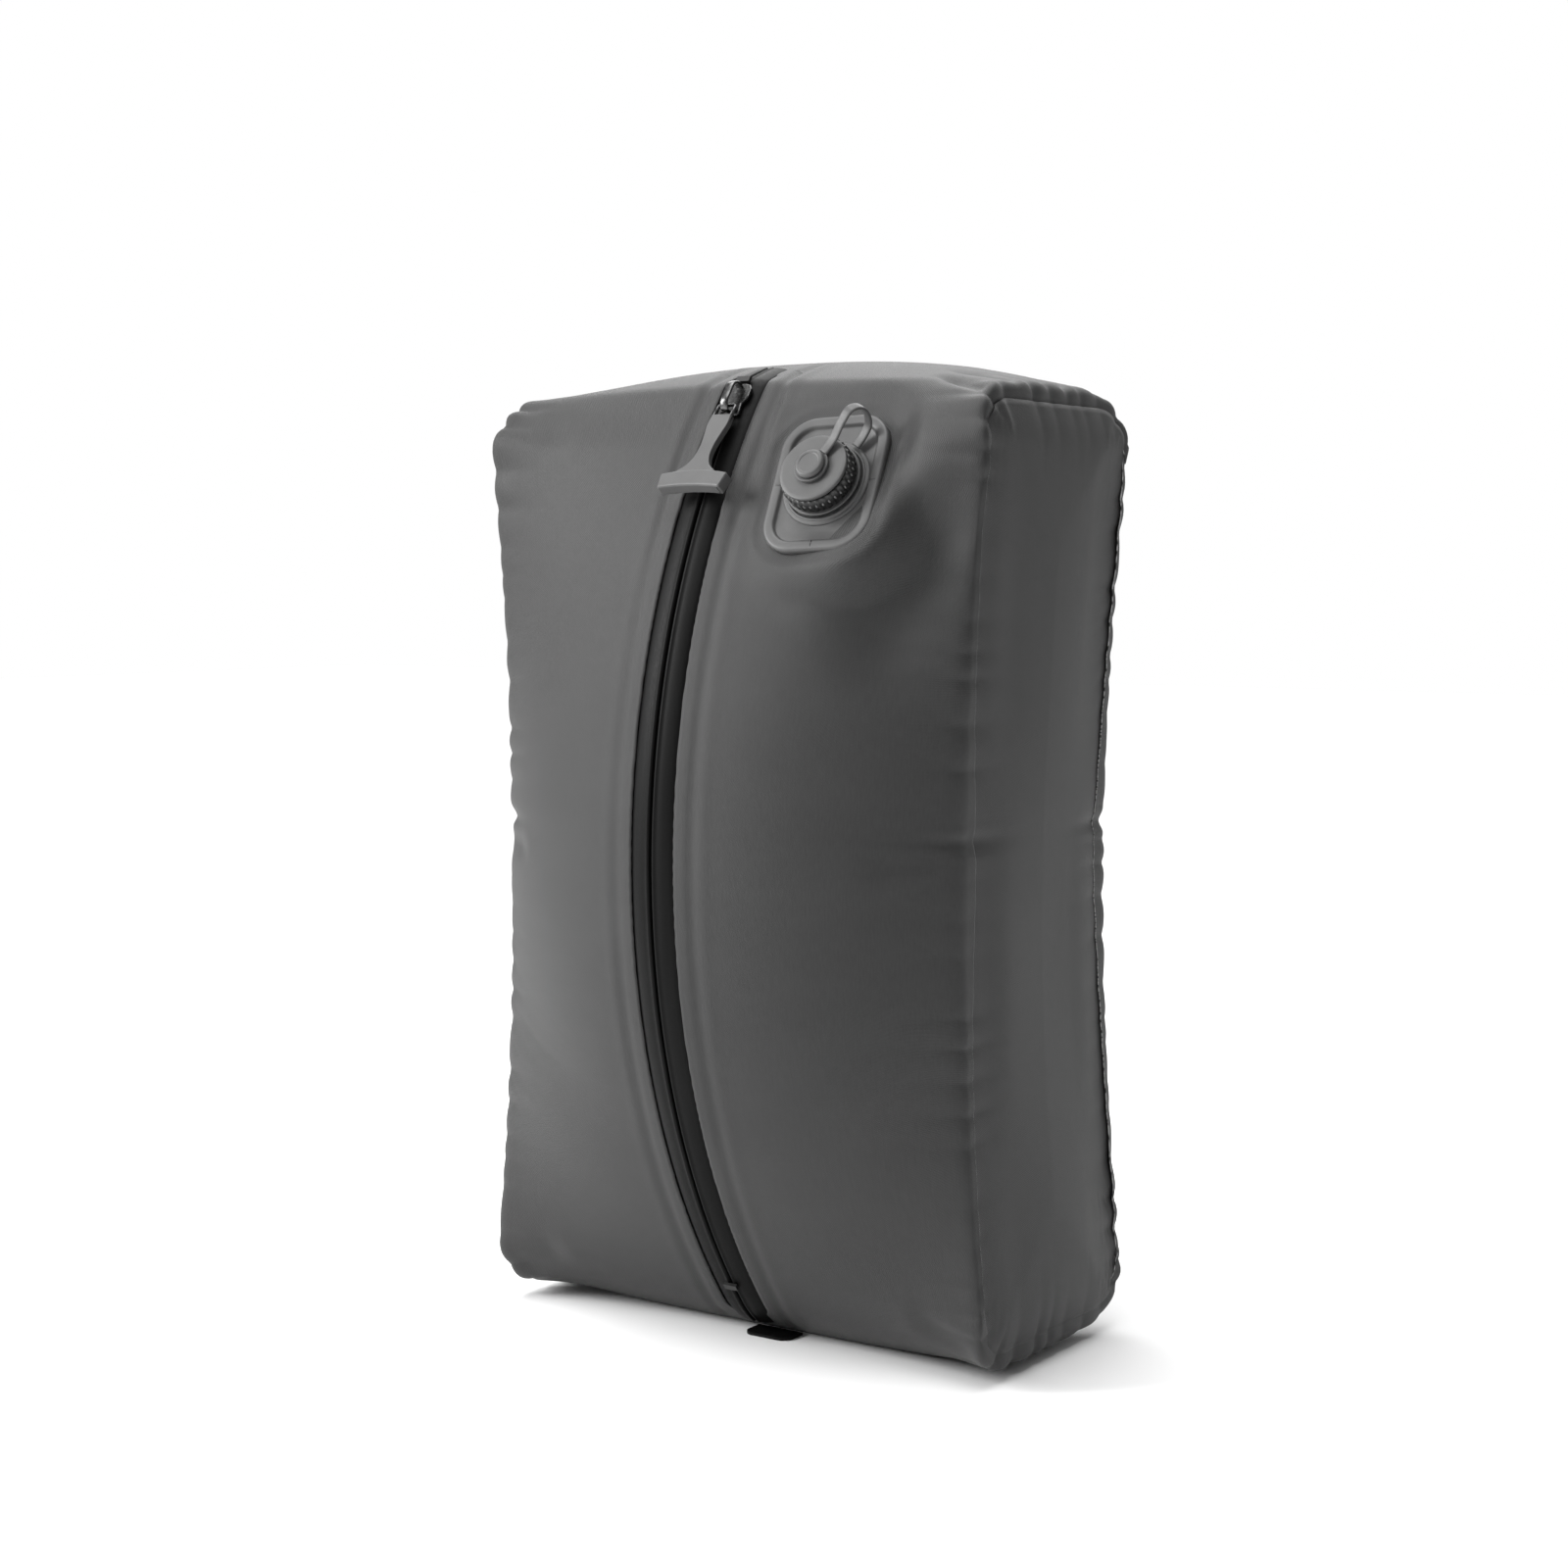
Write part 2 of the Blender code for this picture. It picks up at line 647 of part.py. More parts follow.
def make_pull_link(frame, parent):
    """A U of square wire: a cross bar under the bridge and two legs into the handle."""
    half, wire, leg_end = LINK_HALF, WIRE_HALF, LEG_END
    outer = [(-half - wire, -wire), (half + wire, -wire), (half + wire, leg_end),
             (half - wire, leg_end), (half - wire, wire), (-half + wire, wire),
             (-half + wire, leg_end), (-half - wire, leg_end)]
    mesh = prism_mesh("pull_link", outer, -wire, wire)
    add_object("pull_link", mesh, GUNMETAL, frame, parent)


HANDLE_TOP = 0.0052
HANDLE_BAR_TOP = 0.0340
HANDLE_BAR_LOW = 0.0420
HANDLE_HALF_TOP = 0.0052
HANDLE_HALF_WAIST = 0.0032
HANDLE_HALF_BAR = 0.0163


def handle_stem_outline():
    steps = [(HANDLE_HALF_TOP - 0.0010, HANDLE_TOP), (HANDLE_HALF_TOP, HANDLE_TOP + 0.0012),
             (HANDLE_HALF_TOP - 0.0003, 0.0105), (0.0037, 0.0165),
             (HANDLE_HALF_WAIST, 0.0225), (0.0038, 0.0275), (0.0060, 0.0318),
             (0.0088, HANDLE_BAR_TOP + 0.0010)]
    return steps + [(-x, y) for x, y in reversed(steps)]


def handle_bar_outline():
    """The grip: arched, with its ends cut square and slightly rounded."""
    count = 10
    top = []
    low = []
    for i in range(count + 1):
        share = -1 + 2 * i / count
        drop = 0.0016 * share * share
        top.append((share * HANDLE_HALF_BAR, HANDLE_BAR_TOP + drop))
        low.append((share * (HANDLE_HALF_BAR - 0.0012), HANDLE_BAR_LOW + drop * 0.6))
    return top + list(reversed(low))


def make_pull_handle(frame, parent):
    mesh = prism_mesh("pull_handle", handle_bar_outline(), -0.0042, 0.0011)
    handle = add_object("pull_handle", mesh, GREY_PLASTIC, frame, parent)
    stem = prism_mesh("handle_stem", handle_stem_outline(), -0.0022, 0.0011)
    boolean(handle, add_object("handle_stem", stem, GREY_PLASTIC, frame), "UNION")
    wire = WIRE_HALF + GAP
    socket_end = LEG_END + GAP
    for side in (-1, 1):
        x = side * LINK_HALF
        hole = [(x - wire, HANDLE_TOP - 0.001), (x + wire, HANDLE_TOP - 0.001),
                (x + wire, socket_end), (x - wire, socket_end)]
        mesh = prism_mesh(f"leg_socket_{side}", hole, -wire, wire)
        boolean(handle, add_object(f"leg_socket_{side}", mesh, GREY_PLASTIC, frame))


# ---- the air valve ------------------------------------------------------------------------

def make_valve(wrap):
    frame = VALVE_FRAME
    make_flange(frame)
    bed = rounded_rectangle(FLANGE_WIDTH + 2 * GAP, FLANGE_HEIGHT + 2 * GAP, FLANGE_CORNER)
    bed_mesh = prism_mesh("flange_bed", bed, -GAP, 0.01)
    boolean(wrap, add_object("flange_bed", bed_mesh, FABRIC_GREY, frame))
    hole = prism_mesh("valve_hole", circle(NECK_OUTER + 0.0009, 32), -0.02, 0.02)
    boolean(wrap, add_object("valve_hole", hole, FABRIC_GREY, frame))
    make_neck(frame)
    make_check_valve(frame)
    lift = make_empty("cap_lift_axis", frame)
    make_cap(frame, make_empty("cap_turn_axis", frame, lift))
    make_tether(frame, lift)


def make_flange(frame):
    outline = rounded_rectangle(FLANGE_WIDTH, FLANGE_HEIGHT, FLANGE_CORNER)
    mesh = prism_mesh("valve_flange", outline, 0.0, FLANGE_RIM_HIGH)
    flange = add_object("valve_flange", mesh, GREY_PLASTIC, frame)
    inner = rounded_rectangle(FLANGE_WIDTH - 2 * FLANGE_RIM, FLANGE_HEIGHT - 2 * FLANGE_RIM,
                              FLANGE_CORNER - FLANGE_RIM)
    pocket = prism_mesh("flange_pocket", inner, FLANGE_PLATE, 0.01)
    boolean(flange, add_object("flange_pocket", pocket, GREY_PLASTIC, frame))
    boss = turned("flange_boss", [(0.0, 0.0031), (0.0165, 0.0031), (0.0170, 0.0024),
                                  (0.0181, 0.0024), (0.0184, 0.0008), (0.0, 0.0008)],
                  GREY_PLASTIC, frame, steps=40)
    boolean(flange, boss, "UNION")
    bore = prism_mesh("flange_bore", circle(NECK_OUTER + GAP, 32), -0.01, 0.01)
    boolean(flange, add_object("flange_bore", bore, GREY_PLASTIC, frame))
    turned("valve_inner_ring", [(0.0175, -0.0032), (0.0175, -0.0046), (0.0114, -0.0046),
                                (0.0114, -0.0032)], GREY_PLASTIC, frame)


def make_neck(frame):
    """The tube that the cap screws onto, with a collar behind the inner ring."""
    profile = [(0.0108, 0.0095), (0.0108, 0.0084), (0.0114, 0.0080), (0.0114, 0.0074),
               (0.0108, 0.0070), (0.0108, 0.0056), (0.0114, 0.0052), (0.0114, 0.0046),
               (NECK_OUTER, 0.0042), (NECK_OUTER, -0.0049), (0.0135, -0.0049),
               (0.0135, -0.0064), (NECK_INNER, -0.0064), (NECK_INNER, 0.0095)]
    turned("valve_neck", profile, GREY_PLASTIC, frame)


def make_check_valve(frame):
    """A pierced seat in the neck, and the silicone disc that closes it from inside."""
    seat = turned("valve_seat", [(0.0, 0.0002), (0.0087, 0.0002), (0.0087, -0.0010),
                                 (0.0, -0.0010)], GREY_PLASTIC, frame)
    for i in range(6):
        angle = math.tau * i / 6
        spot = (0.0051 * math.cos(angle), 0.0051 * math.sin(angle))
        port = prism_mesh(f"seat_port_{i}", circle(0.0019, 12, spot), -0.004, 0.004)
        boolean(seat, add_object(f"seat_port_{i}", port, GREY_PLASTIC, frame))
    pin_hole = prism_mesh("seat_pin_hole", circle(0.0011, 12), -0.004, 0.004)
    boolean(seat, add_object("seat_pin_hole", pin_hole, GREY_PLASTIC, frame))
    turned("check_diaphragm", [(0.0, 0.0030), (0.0018, 0.0028), (0.0018, 0.0020),
                               (0.0007, 0.0020), (0.0007, -0.0013), (0.0079, -0.0013),
                               (0.0079, -0.0020), (0.0, -0.0020)], RUBBER, frame, steps=24)


def make_cap(frame, parent):
    cup = [(0.0, CAP_HIGH), (CAP_RADIUS - 0.0009, CAP_HIGH), (CAP_RADIUS, CAP_HIGH - 0.0007),
           (CAP_RADIUS, 0.0124), (0.0130, 0.0124), (0.0130, 0.0050), (CAP_FOOT, 0.0050),
           (CAP_FOOT, CAP_LOW), (0.0119, CAP_LOW), (0.0119, 0.0110), (0.0, 0.0110)]
    turned("valve_cap", cup, GREY_PLASTIC, frame, parent)
    ribs = 30
    outline = []
    for i in range(ribs):
        for share, radius in ((0.0, 0.0147), (0.30, 0.0152), (0.70, 0.0152)):
            angle = math.tau * (i + share) / ribs
            outline.append((radius * math.cos(angle), radius * math.sin(angle)))
    grip_mesh = prism_mesh("cap_grip_ring", outline, 0.0053, 0.0121)
    grip = add_object("cap_grip_ring", grip_mesh, DARK_PLASTIC, frame, parent)
    bore = prism_mesh("grip_bore", circle(0.0133, 32), 0.0, 0.02)
    boolean(grip, add_object("grip_bore", bore, DARK_PLASTIC, frame))
    turned("cap_seal_ring", [(0.0106, 0.0107), (0.0109, 0.0103), (0.0106, 0.0098),
                             (0.0096, 0.0098), (0.0093, 0.0103), (0.0096, 0.0107)],
           RUBBER, frame, parent)
    turned("tether_button", [(0.0, 0.0178), (0.0052, 0.0176), (0.0061, 0.0168),
                             (0.0061, 0.0158), (0.0026, 0.0158), (0.0026, 0.0143),
                             (0.0, 0.0143)], GREY_PLASTIC, frame, parent, steps=28)


STRAP_LINE = ((0.0076, 0.0149), (0.0130, 0.0160), (0.0200, 0.0192), (0.0256, 0.0203),
              (0.0290, 0.0172), (0.0294, 0.0115), (0.0272, 0.0068), (0.0232, 0.0047),
              (0.0196, 0.0041))


def make_tether(frame, lift):
    turned("tether_eyelet", [(0.0072, 0.0155), (0.0072, 0.0143), (0.0029, 0.0143),
                             (0.0029, 0.0155)], GREY_PLASTIC, frame, lift, steps=28)
    centre = smooth_curve(STRAP_LINE, 25)
    cos_h, sin_h = math.cos(STRAP_HEADING), math.sin(STRAP_HEADING)
    rings = []
    for i, (reach, height) in enumerate(centre):
        before = centre[max(0, i - 1)]
        after = centre[min(len(centre) - 1, i + 1)]
        run = (after - before) / np.linalg.norm(after - before)
        lift_by = np.array((-run[1], run[0])) * STRAP_THICK / 2
        ring = []
        for across, face in ((-1, -1), (1, -1), (1, 1), (-1, 1)):
            out = reach + face * lift_by[0]
            x = out * cos_h - across * STRAP_WIDTH / 2 * sin_h
            y = out * sin_h + across * STRAP_WIDTH / 2 * cos_h
            ring.append((x, y, height + face * lift_by[1]))
        rings.append(ring)
    add_object("tether_strap", swept_mesh("tether_strap", rings), GREY_PLASTIC, frame)


# ---- the tab under the zip's lower end ----------------------------------------------------

TAB_CENTRE_X = 0.008
TAB_HALF = 0.011
TAB_FRONT = -0.0410
TAB_BACK = -0.0290
TAB_THICK = 0.0012


def make_tab():
    corner = 0.0045
    outline = []
    for sign, start in ((1, -math.pi / 2), (-1, math.pi)):
        for i in range(6):
            angle = start + (math.pi / 2) * i / 5
            centre_x = TAB_CENTRE_X + sign * (TAB_HALF - corner)
            outline.append((centre_x + corner * math.cos(angle),
                            TAB_FRONT + corner + corner * math.sin(angle)))
        if sign == 1:
            outline.append((TAB_CENTRE_X + TAB_HALF, TAB_BACK))
            outline.append((TAB_CENTRE_X - TAB_HALF, TAB_BACK))
    add_object("zip_end_tab", prism_mesh("zip_end_tab", outline, 0.0, TAB_THICK), ZIP_BLACK)


bag_wrap = make_bag()
make_zip()
make_slider()
make_valve(bag_wrap)
make_tab()
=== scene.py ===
"""The looks of the airtight packing cube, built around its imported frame.

Metres, +Z up, in the frame's own axes: the zip is on the front, which faces -Y.
"""
import json
import math

import bmesh
import bpy
import numpy as np
from mathutils import Matrix, Vector
from mathutils.kdtree import KDTree


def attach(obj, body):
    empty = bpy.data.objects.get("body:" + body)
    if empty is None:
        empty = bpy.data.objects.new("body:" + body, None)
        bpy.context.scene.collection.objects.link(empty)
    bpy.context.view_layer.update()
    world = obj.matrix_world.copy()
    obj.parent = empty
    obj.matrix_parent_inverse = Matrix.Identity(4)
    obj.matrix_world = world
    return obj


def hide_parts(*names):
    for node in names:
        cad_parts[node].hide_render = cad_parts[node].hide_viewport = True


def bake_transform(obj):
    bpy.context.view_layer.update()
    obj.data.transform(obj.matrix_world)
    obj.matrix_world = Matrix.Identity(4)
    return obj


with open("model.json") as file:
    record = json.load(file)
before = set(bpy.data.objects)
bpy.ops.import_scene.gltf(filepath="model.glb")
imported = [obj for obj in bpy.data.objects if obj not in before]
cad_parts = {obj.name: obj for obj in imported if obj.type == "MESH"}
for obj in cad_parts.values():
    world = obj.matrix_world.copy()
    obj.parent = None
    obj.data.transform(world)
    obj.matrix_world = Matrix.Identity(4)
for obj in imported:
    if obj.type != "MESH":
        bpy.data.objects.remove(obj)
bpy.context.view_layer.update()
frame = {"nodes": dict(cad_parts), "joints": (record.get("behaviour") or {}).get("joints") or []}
JOINTS = {joint["name"]: joint for joint in frame["joints"]}

# ---- driving dimensions: near the frame's bag, with seams and corners set from the photo -----

HALF_DEPTH = 0.0590
SEAM_LOW = 0.0042
SEAM_HIGH = 0.3892
SEAM_CORNER = 0.021
HALF_WIDTH_MID = 0.1122
FLARE_TOP = 0.0118
FLARE_BOTTOM = 0.0118
DRAWN_IN_TOP = 0.0070           # how far the seams draw back in at their top and bottom ends
DRAWN_IN_BOTTOM = 0.0045
DRAW_START = 0.88               # where that starts and ends, as a share of the half height
DRAW_END = 1.04
CROWN_POWER = 2.4
FABRIC = 0.0005                 # drawn thickness of the cloth, thinner than the frame's
LAP = 0.011                     # width of the welded lap on the side panels
HUB_Z = 0.200

ZIP_AXIS_Y, ZIP_AXIS_Z = JOINTS["zip_travel"]["pos_m"][1:]
ZIP_RADIUS = 0.3150
ZIP_ARC_TOP = math.radians(36.7)
ZIP_ARC_BOTTOM = math.radians(-36.0)
SLOT_HALF = 0.0103
TOP_SHOULDER = 0.010
TOP_SLOPE = math.radians(22.5)
ROOF_RADIUS = 0.135
BACK_TOP_RADIUS = 0.0256
BACK_RADIUS = 0.330
BACK_BULGE = 0.096
BACK_ARC = math.radians(35.0)
BELLY = 0.004

SLIDER_ANGLE = math.radians(35.2)
SLIDER_HALF = 0.0080
VALVE_ROLL = math.radians(2.6)
FLANGE_WIDTH = 0.047
FLANGE_HEIGHT = 0.060
FLANGE_CORNER = 0.014
PRESS_MARGIN = 0.003
PRESS_FADE = 0.016
HOLE_RADIUS = 0.0145            # cloth cut away behind the flange
HOLE_REACH = 0.02               # and how far from its plane the cut looks


# ---- building blocks ------------------------------------------------------------------------

def piece(name, mesh, material, body, replaced=(), place=None):
    """A shown piece: it rides on a body, and stands for the CAD nodes that it replaces."""
    item = bpy.data.objects.new(name, mesh)
    bpy.context.scene.collection.objects.link(item)
    mesh.materials.clear()
    mesh.materials.append(material)
    mesh.shade_smooth()
    if place is not None:
        item.matrix_world = place
    if body:
        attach(item, body)
    if replaced:
        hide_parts(*replaced)
    return item


def mesh_from(bm, name):
    mesh = bpy.data.meshes.new(name)
    bm.to_mesh(mesh)
    bm.free()
    return mesh


def add_prism(bm, outline, low, high):
    """A flat outline in X and Y, closed between two heights."""
    base = [bm.verts.new((x, y, low)) for x, y in outline]
    top = [bm.verts.new((x, y, high)) for x, y in outline]
    bm.faces.new(list(reversed(base)))
    bm.faces.new(top)
    count = len(outline)
    for i in range(count):
        j = (i + 1) % count
        bm.faces.new((base[i], base[j], top[j], top[i]))


def add_rings(bm, rings, capped=True):
    """A surface through rings of equal length, closed at both ends."""
    loops = [[bm.verts.new(point) for point in ring] for ring in rings]
    count = len(loops[0])
    for here, there in zip(loops, loops[1:]):
        for i in range(count):
            j = (i + 1) % count
            bm.faces.new((here[i], here[j], there[j], there[i]))
    if capped:
        bm.faces.new(list(reversed(loops[0])))
        bm.faces.new(loops[-1])


def turned_mesh(name, profile, steps=96):
    """A closed profile of (radius, height), turned about local Z."""
    bm = bmesh.new()
    rings = []
    for radius, height in profile:
        if radius < 1e-6:
            rings.append([bm.verts.new((0.0, 0.0, height))])
            continue
        turns = [math.tau * i / steps for i in range(steps)]
        rings.append([bm.verts.new((radius * math.cos(a), radius * math.sin(a), height))
                      for a in turns])
    closed = profile[0][0] > 1e-6
    pairs = list(zip(rings, rings[1:])) + ([(rings[-1], rings[0])] if closed else [])
    for here, there in pairs:
        for i in range(steps):
            j = (i + 1) % steps
            if len(here) == 1:
                bm.faces.new((here[0], there[j], there[i]))
            elif len(there) == 1:
                bm.faces.new((here[i], here[j], there[0]))
            else:
                bm.faces.new((here[i], here[j], there[j], there[i]))
    bmesh.ops.recalc_face_normals(bm, faces=bm.faces)
    return mesh_from(bm, name)


def soften(item, width, segments=3, angle=28.0):
    """Round the edges of a hard piece."""
    bevel = item.modifiers.new("rounded", "BEVEL")
    bevel.width = width
    bevel.segments = segments
    bevel.limit_method = "ANGLE"
    bevel.angle_limit = math.radians(angle)
    bevel.harden_normals = True
    return item


def fillet(profile, radius, steps=4):
    """Round each inner corner of an open profile."""
    points = [np.array(p) for p in profile]
    result = [tuple(points[0])]
    for before, here, after in zip(points, points[1:], points[2:]):
        way_in = before - here
        way_out = after - here
        reach = min(radius, np.linalg.norm(way_in) * 0.45, np.linalg.norm(way_out) * 0.45)
        start = here + way_in / np.linalg.norm(way_in) * reach
        end = here + way_out / np.linalg.norm(way_out) * reach
        for i in range(steps + 1):
            t = i / steps
            spot = (1 - t) ** 2 * start + 2 * t * (1 - t) * here + t * t * end
            result.append(tuple(spot))
    result.append(tuple(points[-1]))
    return result


def rounded_rectangle(width, height, corner, steps=12):
    points = []
    for quarter, (sx, sy) in enumerate(((1, 1), (-1, 1), (-1, -1), (1, -1))):
        cx = sx * (width / 2 - corner)
        cy = sy * (height / 2 - corner)
        for i in range(steps + 1):
            angle = (quarter + i / steps) * math.pi / 2
            points.append((cx + corner * math.cos(angle), cy + corner * math.sin(angle)))
    return points


def smooth_curve(points, count):
    """Evenly spaced points on a smooth curve through the given ones."""
    knots = np.array(points, dtype=float)
    at = np.concatenate(([0.0], np.cumsum(np.linalg.norm(np.diff(knots, axis=0), axis=1))))
    slopes = np.gradient(knots, at, axis=0)
    result = []
    for t in np.linspace(0.0, at[-1], count):
        i = min(int(np.searchsorted(at, t, side="right")) - 1, len(knots) - 2)
        span = at[i + 1] - at[i]
        k = (t - at[i]) / span
        blend = (1 + 2 * k) * (1 - k) ** 2 * knots[i] + k * (1 - k) ** 2 * span * slopes[i]
        blend += k * k * (3 - 2 * k) * knots[i + 1] + k * k * (k - 1) * span * slopes[i + 1]
        result.append(blend)
    return result


# ---- materials ------------------------------------------------------------------------------

class Nodes:
    """A short way to write a material's nodes."""

    def __init__(self, name, color, roughness, metallic=0.0):
        self.material = bpy.data.materials.new(name)
        self.material.use_nodes = True
        self.tree = self.material.node_tree
        self.shader = self.tree.nodes["Principled BSDF"]
        self.shader.inputs["Base Color"].default_value = (*color, 1.0)
        self.shader.inputs["Roughness"].default_value = roughness
        self.shader.inputs["Metallic"].default_value = metallic

    def put(self, socket, value):
        if isinstance(value, bpy.types.NodeSocket):
            self.tree.links.new(value, socket)
        else:
            socket.default_value = value

    def math(self, operation, a, b=0.0):
        node = self.tree.nodes.new("ShaderNodeMath")
        node.operation = operation
        self.put(node.inputs[0], a)
        self.put(node.inputs[1], b)
        return node.outputs[0]

    def coordinates(self, attribute=None):
        if attribute:
            node = self.tree.nodes.new("ShaderNodeAttribute")
            node.attribute_name = attribute
            return node.outputs["Vector"]
        return self.tree.nodes.new("ShaderNodeTexCoord").outputs["Object"]

    def value(self, attribute):
        node = self.tree.nodes.new("ShaderNodeAttribute")
        node.attribute_name = attribute
        return node.outputs["Fac"]

    def scaled(self, vector, factors):
        node = self.tree.nodes.new("ShaderNodeVectorMath")
        node.operation = "MULTIPLY"
        self.put(node.inputs[0], vector)
        node.inputs[1].default_value = factors
        return node.outputs[0]

    def noise(self, vector, scale, detail=2.0, rough=0.5):
        node = self.tree.nodes.new("ShaderNodeTexNoise")
        self.put(node.inputs["Vector"], vector)
        node.inputs["Scale"].default_value = scale
        node.inputs["Detail"].default_value = detail
        node.inputs["Roughness"].default_value = rough
        return node.outputs["Fac"]

    def split(self, vector):
        node = self.tree.nodes.new("ShaderNodeSeparateXYZ")
        self.put(node.inputs[0], vector)
        return node.outputs

    def span(self, value, low, high, out_low, out_high):
        node = self.tree.nodes.new("ShaderNodeMapRange")
        for socket, item in zip(node.inputs[:5], (value, low, high, out_low, out_high)):
            self.put(socket, item)
        return node.outputs[0]

    def tint(self, factor, dark, light):
        node = self.tree.nodes.new("ShaderNodeMix")
        node.data_type = "RGBA"
        self.put(node.inputs[0], factor)
        self.put(node.inputs[6], (*dark, 1.0) if isinstance(dark, tuple) else dark)
        self.put(node.inputs[7], (*light, 1.0) if isinstance(light, tuple) else light)
        return node.outputs[2]

    def color(self, value):
        self.put(self.shader.inputs["Base Color"], value)

    def rough(self, value):
        self.put(self.shader.inputs["Roughness"], value)

    def bump(self, height, strength, distance):
        node = self.tree.nodes.new("ShaderNodeBump")
        node.inputs["Strength"].default_value = strength
        node.inputs["Distance"].default_value = distance
        self.put(node.inputs["Height"], height)
        self.put(self.shader.inputs["Normal"], node.outputs[0])

    def fixed(self, **values):
        for name, value in values.items():
            self.shader.inputs[name.replace("_", " ")].default_value = value


def grey(level, warmth=0.0):
    return (level * (1 + warmth), level, level * (1 - warmth))


def fabric_material():
    """Coated plain weave: 0.45 mm threads, speckled grain, pale where the cut edge frays."""
    n = Nodes("bag_cloth", grey(0.05), 0.72)
    place = n.coordinates("cloth")
    across, along, _ = n.split(place)
    pitch = 0.00045
    warp = n.math("SINE", n.math("MULTIPLY", across, math.pi / pitch))
    weft = n.math("SINE", n.math("MULTIPLY", along, math.pi / pitch))
    weave = n.math("MULTIPLY", warp, weft)
    grain = n.noise(place, 1900.0, 3.0, 0.7)
    threads = n.noise(n.scaled(place, (1500.0, 90.0, 1.0)), 1.0, 2.0)
    clouds = n.noise(place, 22.0, 3.0)
    mix = n.math("ADD", n.math("MULTIPLY", grain, 0.55), n.math("MULTIPLY", threads, 0.30))
    mix = n.math("ADD", mix, n.math("MULTIPLY", clouds, 0.25))
    mix = n.math("ADD", mix, n.math("MULTIPLY", weave, 0.05))
    cloth = n.tint(n.span(mix, 0.30, 0.80, 0.0, 1.0), grey(0.010), grey(0.027))
    frayed = n.span(n.noise(place, 420.0, 2.0), 0.42, 0.55, 0.0, 1.0)
    edge = n.math("MULTIPLY", n.span(n.value("cut_edge"), 0.55, 0.95, 0.0, 1.0), frayed)
    n.color(n.tint(edge, cloth, grey(0.42)))
    n.rough(n.span(grain, 0.3, 0.7, 0.50, 0.62))
    height = n.math("ADD", n.math("MULTIPLY", weave, 0.5), grain)
    n.bump(height, 0.55, 0.00018)
    n.fixed(Sheen_Weight=0.07, Sheen_Roughness=0.45, Specular_IOR_Level=0.42)
    return n.material


def tape_material():
    """Satin black film over woven tape."""
    n = Nodes("tape_film", grey(0.012), 0.42)
    place = n.coordinates()
    grain = n.noise(place, 1500.0, 3.0, 0.6)
    smear = n.noise(n.scaled(place, (220.0, 60.0, 14.0)), 1.0, 3.0)
    n.color(n.tint(n.span(smear, 0.3, 0.7, 0.0, 1.0), grey(0.002), grey(0.004)))
    n.rough(n.span(grain, 0.3, 0.7, 0.42, 0.58))
    n.bump(grain, 0.3, 0.00008)
    n.fixed(Specular_IOR_Level=0.10)
    return n.material


def plastic_material(name, dark, light, roughness, grain_size=2600.0):
    """Moulded plastic with a fine spark-eroded grain and faint handling marks."""
    n = Nodes(name, grey(light), roughness)
    place = n.coordinates()
    grain = n.noise(place, grain_size, 2.0, 0.6)
    marks = n.noise(n.scaled(place, (90.0, 90.0, 300.0)), 1.0, 4.0, 0.6)
    n.color(n.tint(n.span(marks, 0.25, 0.75, 0.0, 1.0), grey(dark), grey(light)))
    n.rough(n.span(grain, 0.3, 0.7, roughness - 0.06, roughness + 0.08))
    n.bump(grain, 0.25, 0.00006)
    return n.material


def rubber_material():
    n = Nodes("silicone", grey(0.03), 0.62)
    place = n.coordinates()
    dust = n.noise(place, 700.0, 4.0, 0.65)
    n.color(n.tint(n.span(dust, 0.35, 0.75, 0.0, 1.0), grey(0.022), grey(0.042)))
    n.rough(n.span(dust, 0.3, 0.7, 0.55, 0.72))
    n.bump(dust, 0.2, 0.00006)
    return n.material


def metal_material():
    """Black-nickel plating, with brighter worn spots."""
    n = Nodes("black_nickel", grey(0.16), 0.2, 1.0)
    place = n.coordinates()
    wear = n.noise(place, 420.0, 3.0, 0.6)
    brush = n.noise(n.scaled(place, (300.0, 2400.0, 300.0)), 1.0, 2.0)
    n.color(n.tint(n.span(wear, 0.55, 0.75, 0.0, 1.0), grey(0.085), grey(0.20)))
    n.rough(n.span(wear, 0.3, 0.7, 0.24, 0.34))
    n.bump(brush, 0.04, 0.00001)
    return n.material


CLOTH = fabric_material()
TAPE = tape_material()
GRIP = plastic_material("grip_plastic", 0.060, 0.080, 0.46)
VALVE = plastic_material("valve_plastic", 0.050, 0.066, 0.48)
DARK = plastic_material("dark_plastic", 0.005, 0.009, 0.42)
# pale grey for the cap's pips: a painted highlight standing in for the glints on the grip's ribs
PIP_HIGHLIGHT = plastic_material("pip_painted_highlight", 0.11, 0.16, 0.5)
COIL = plastic_material("coil_nylon", 0.004, 0.008, 0.40, 1800.0)
RUBBER = rubber_material()
METAL = metal_material()


# ---- the bag's surface ----------------------------------------------------------------------

def turn_points(start, heading, radius, new_heading, count):
    """Points on an arc that turns from one heading to another."""
    side = 1.0 if new_heading > heading else -1.0
    centre_y = start[0] - side * radius * math.sin(heading)
    centre_z = start[1] + side * radius * math.cos(heading)
    turns = [heading + (new_heading - heading) * i / count for i in range(1, count + 1)]
    return [(centre_y + side * radius * math.sin(a), centre_z - side * radius * math.cos(a))
            for a in turns]


def zip_point(angle, out=0.0):
    reach = ZIP_RADIUS + out
    return ZIP_AXIS_Y - reach * math.cos(angle), ZIP_AXIS_Z + reach * math.sin(angle)


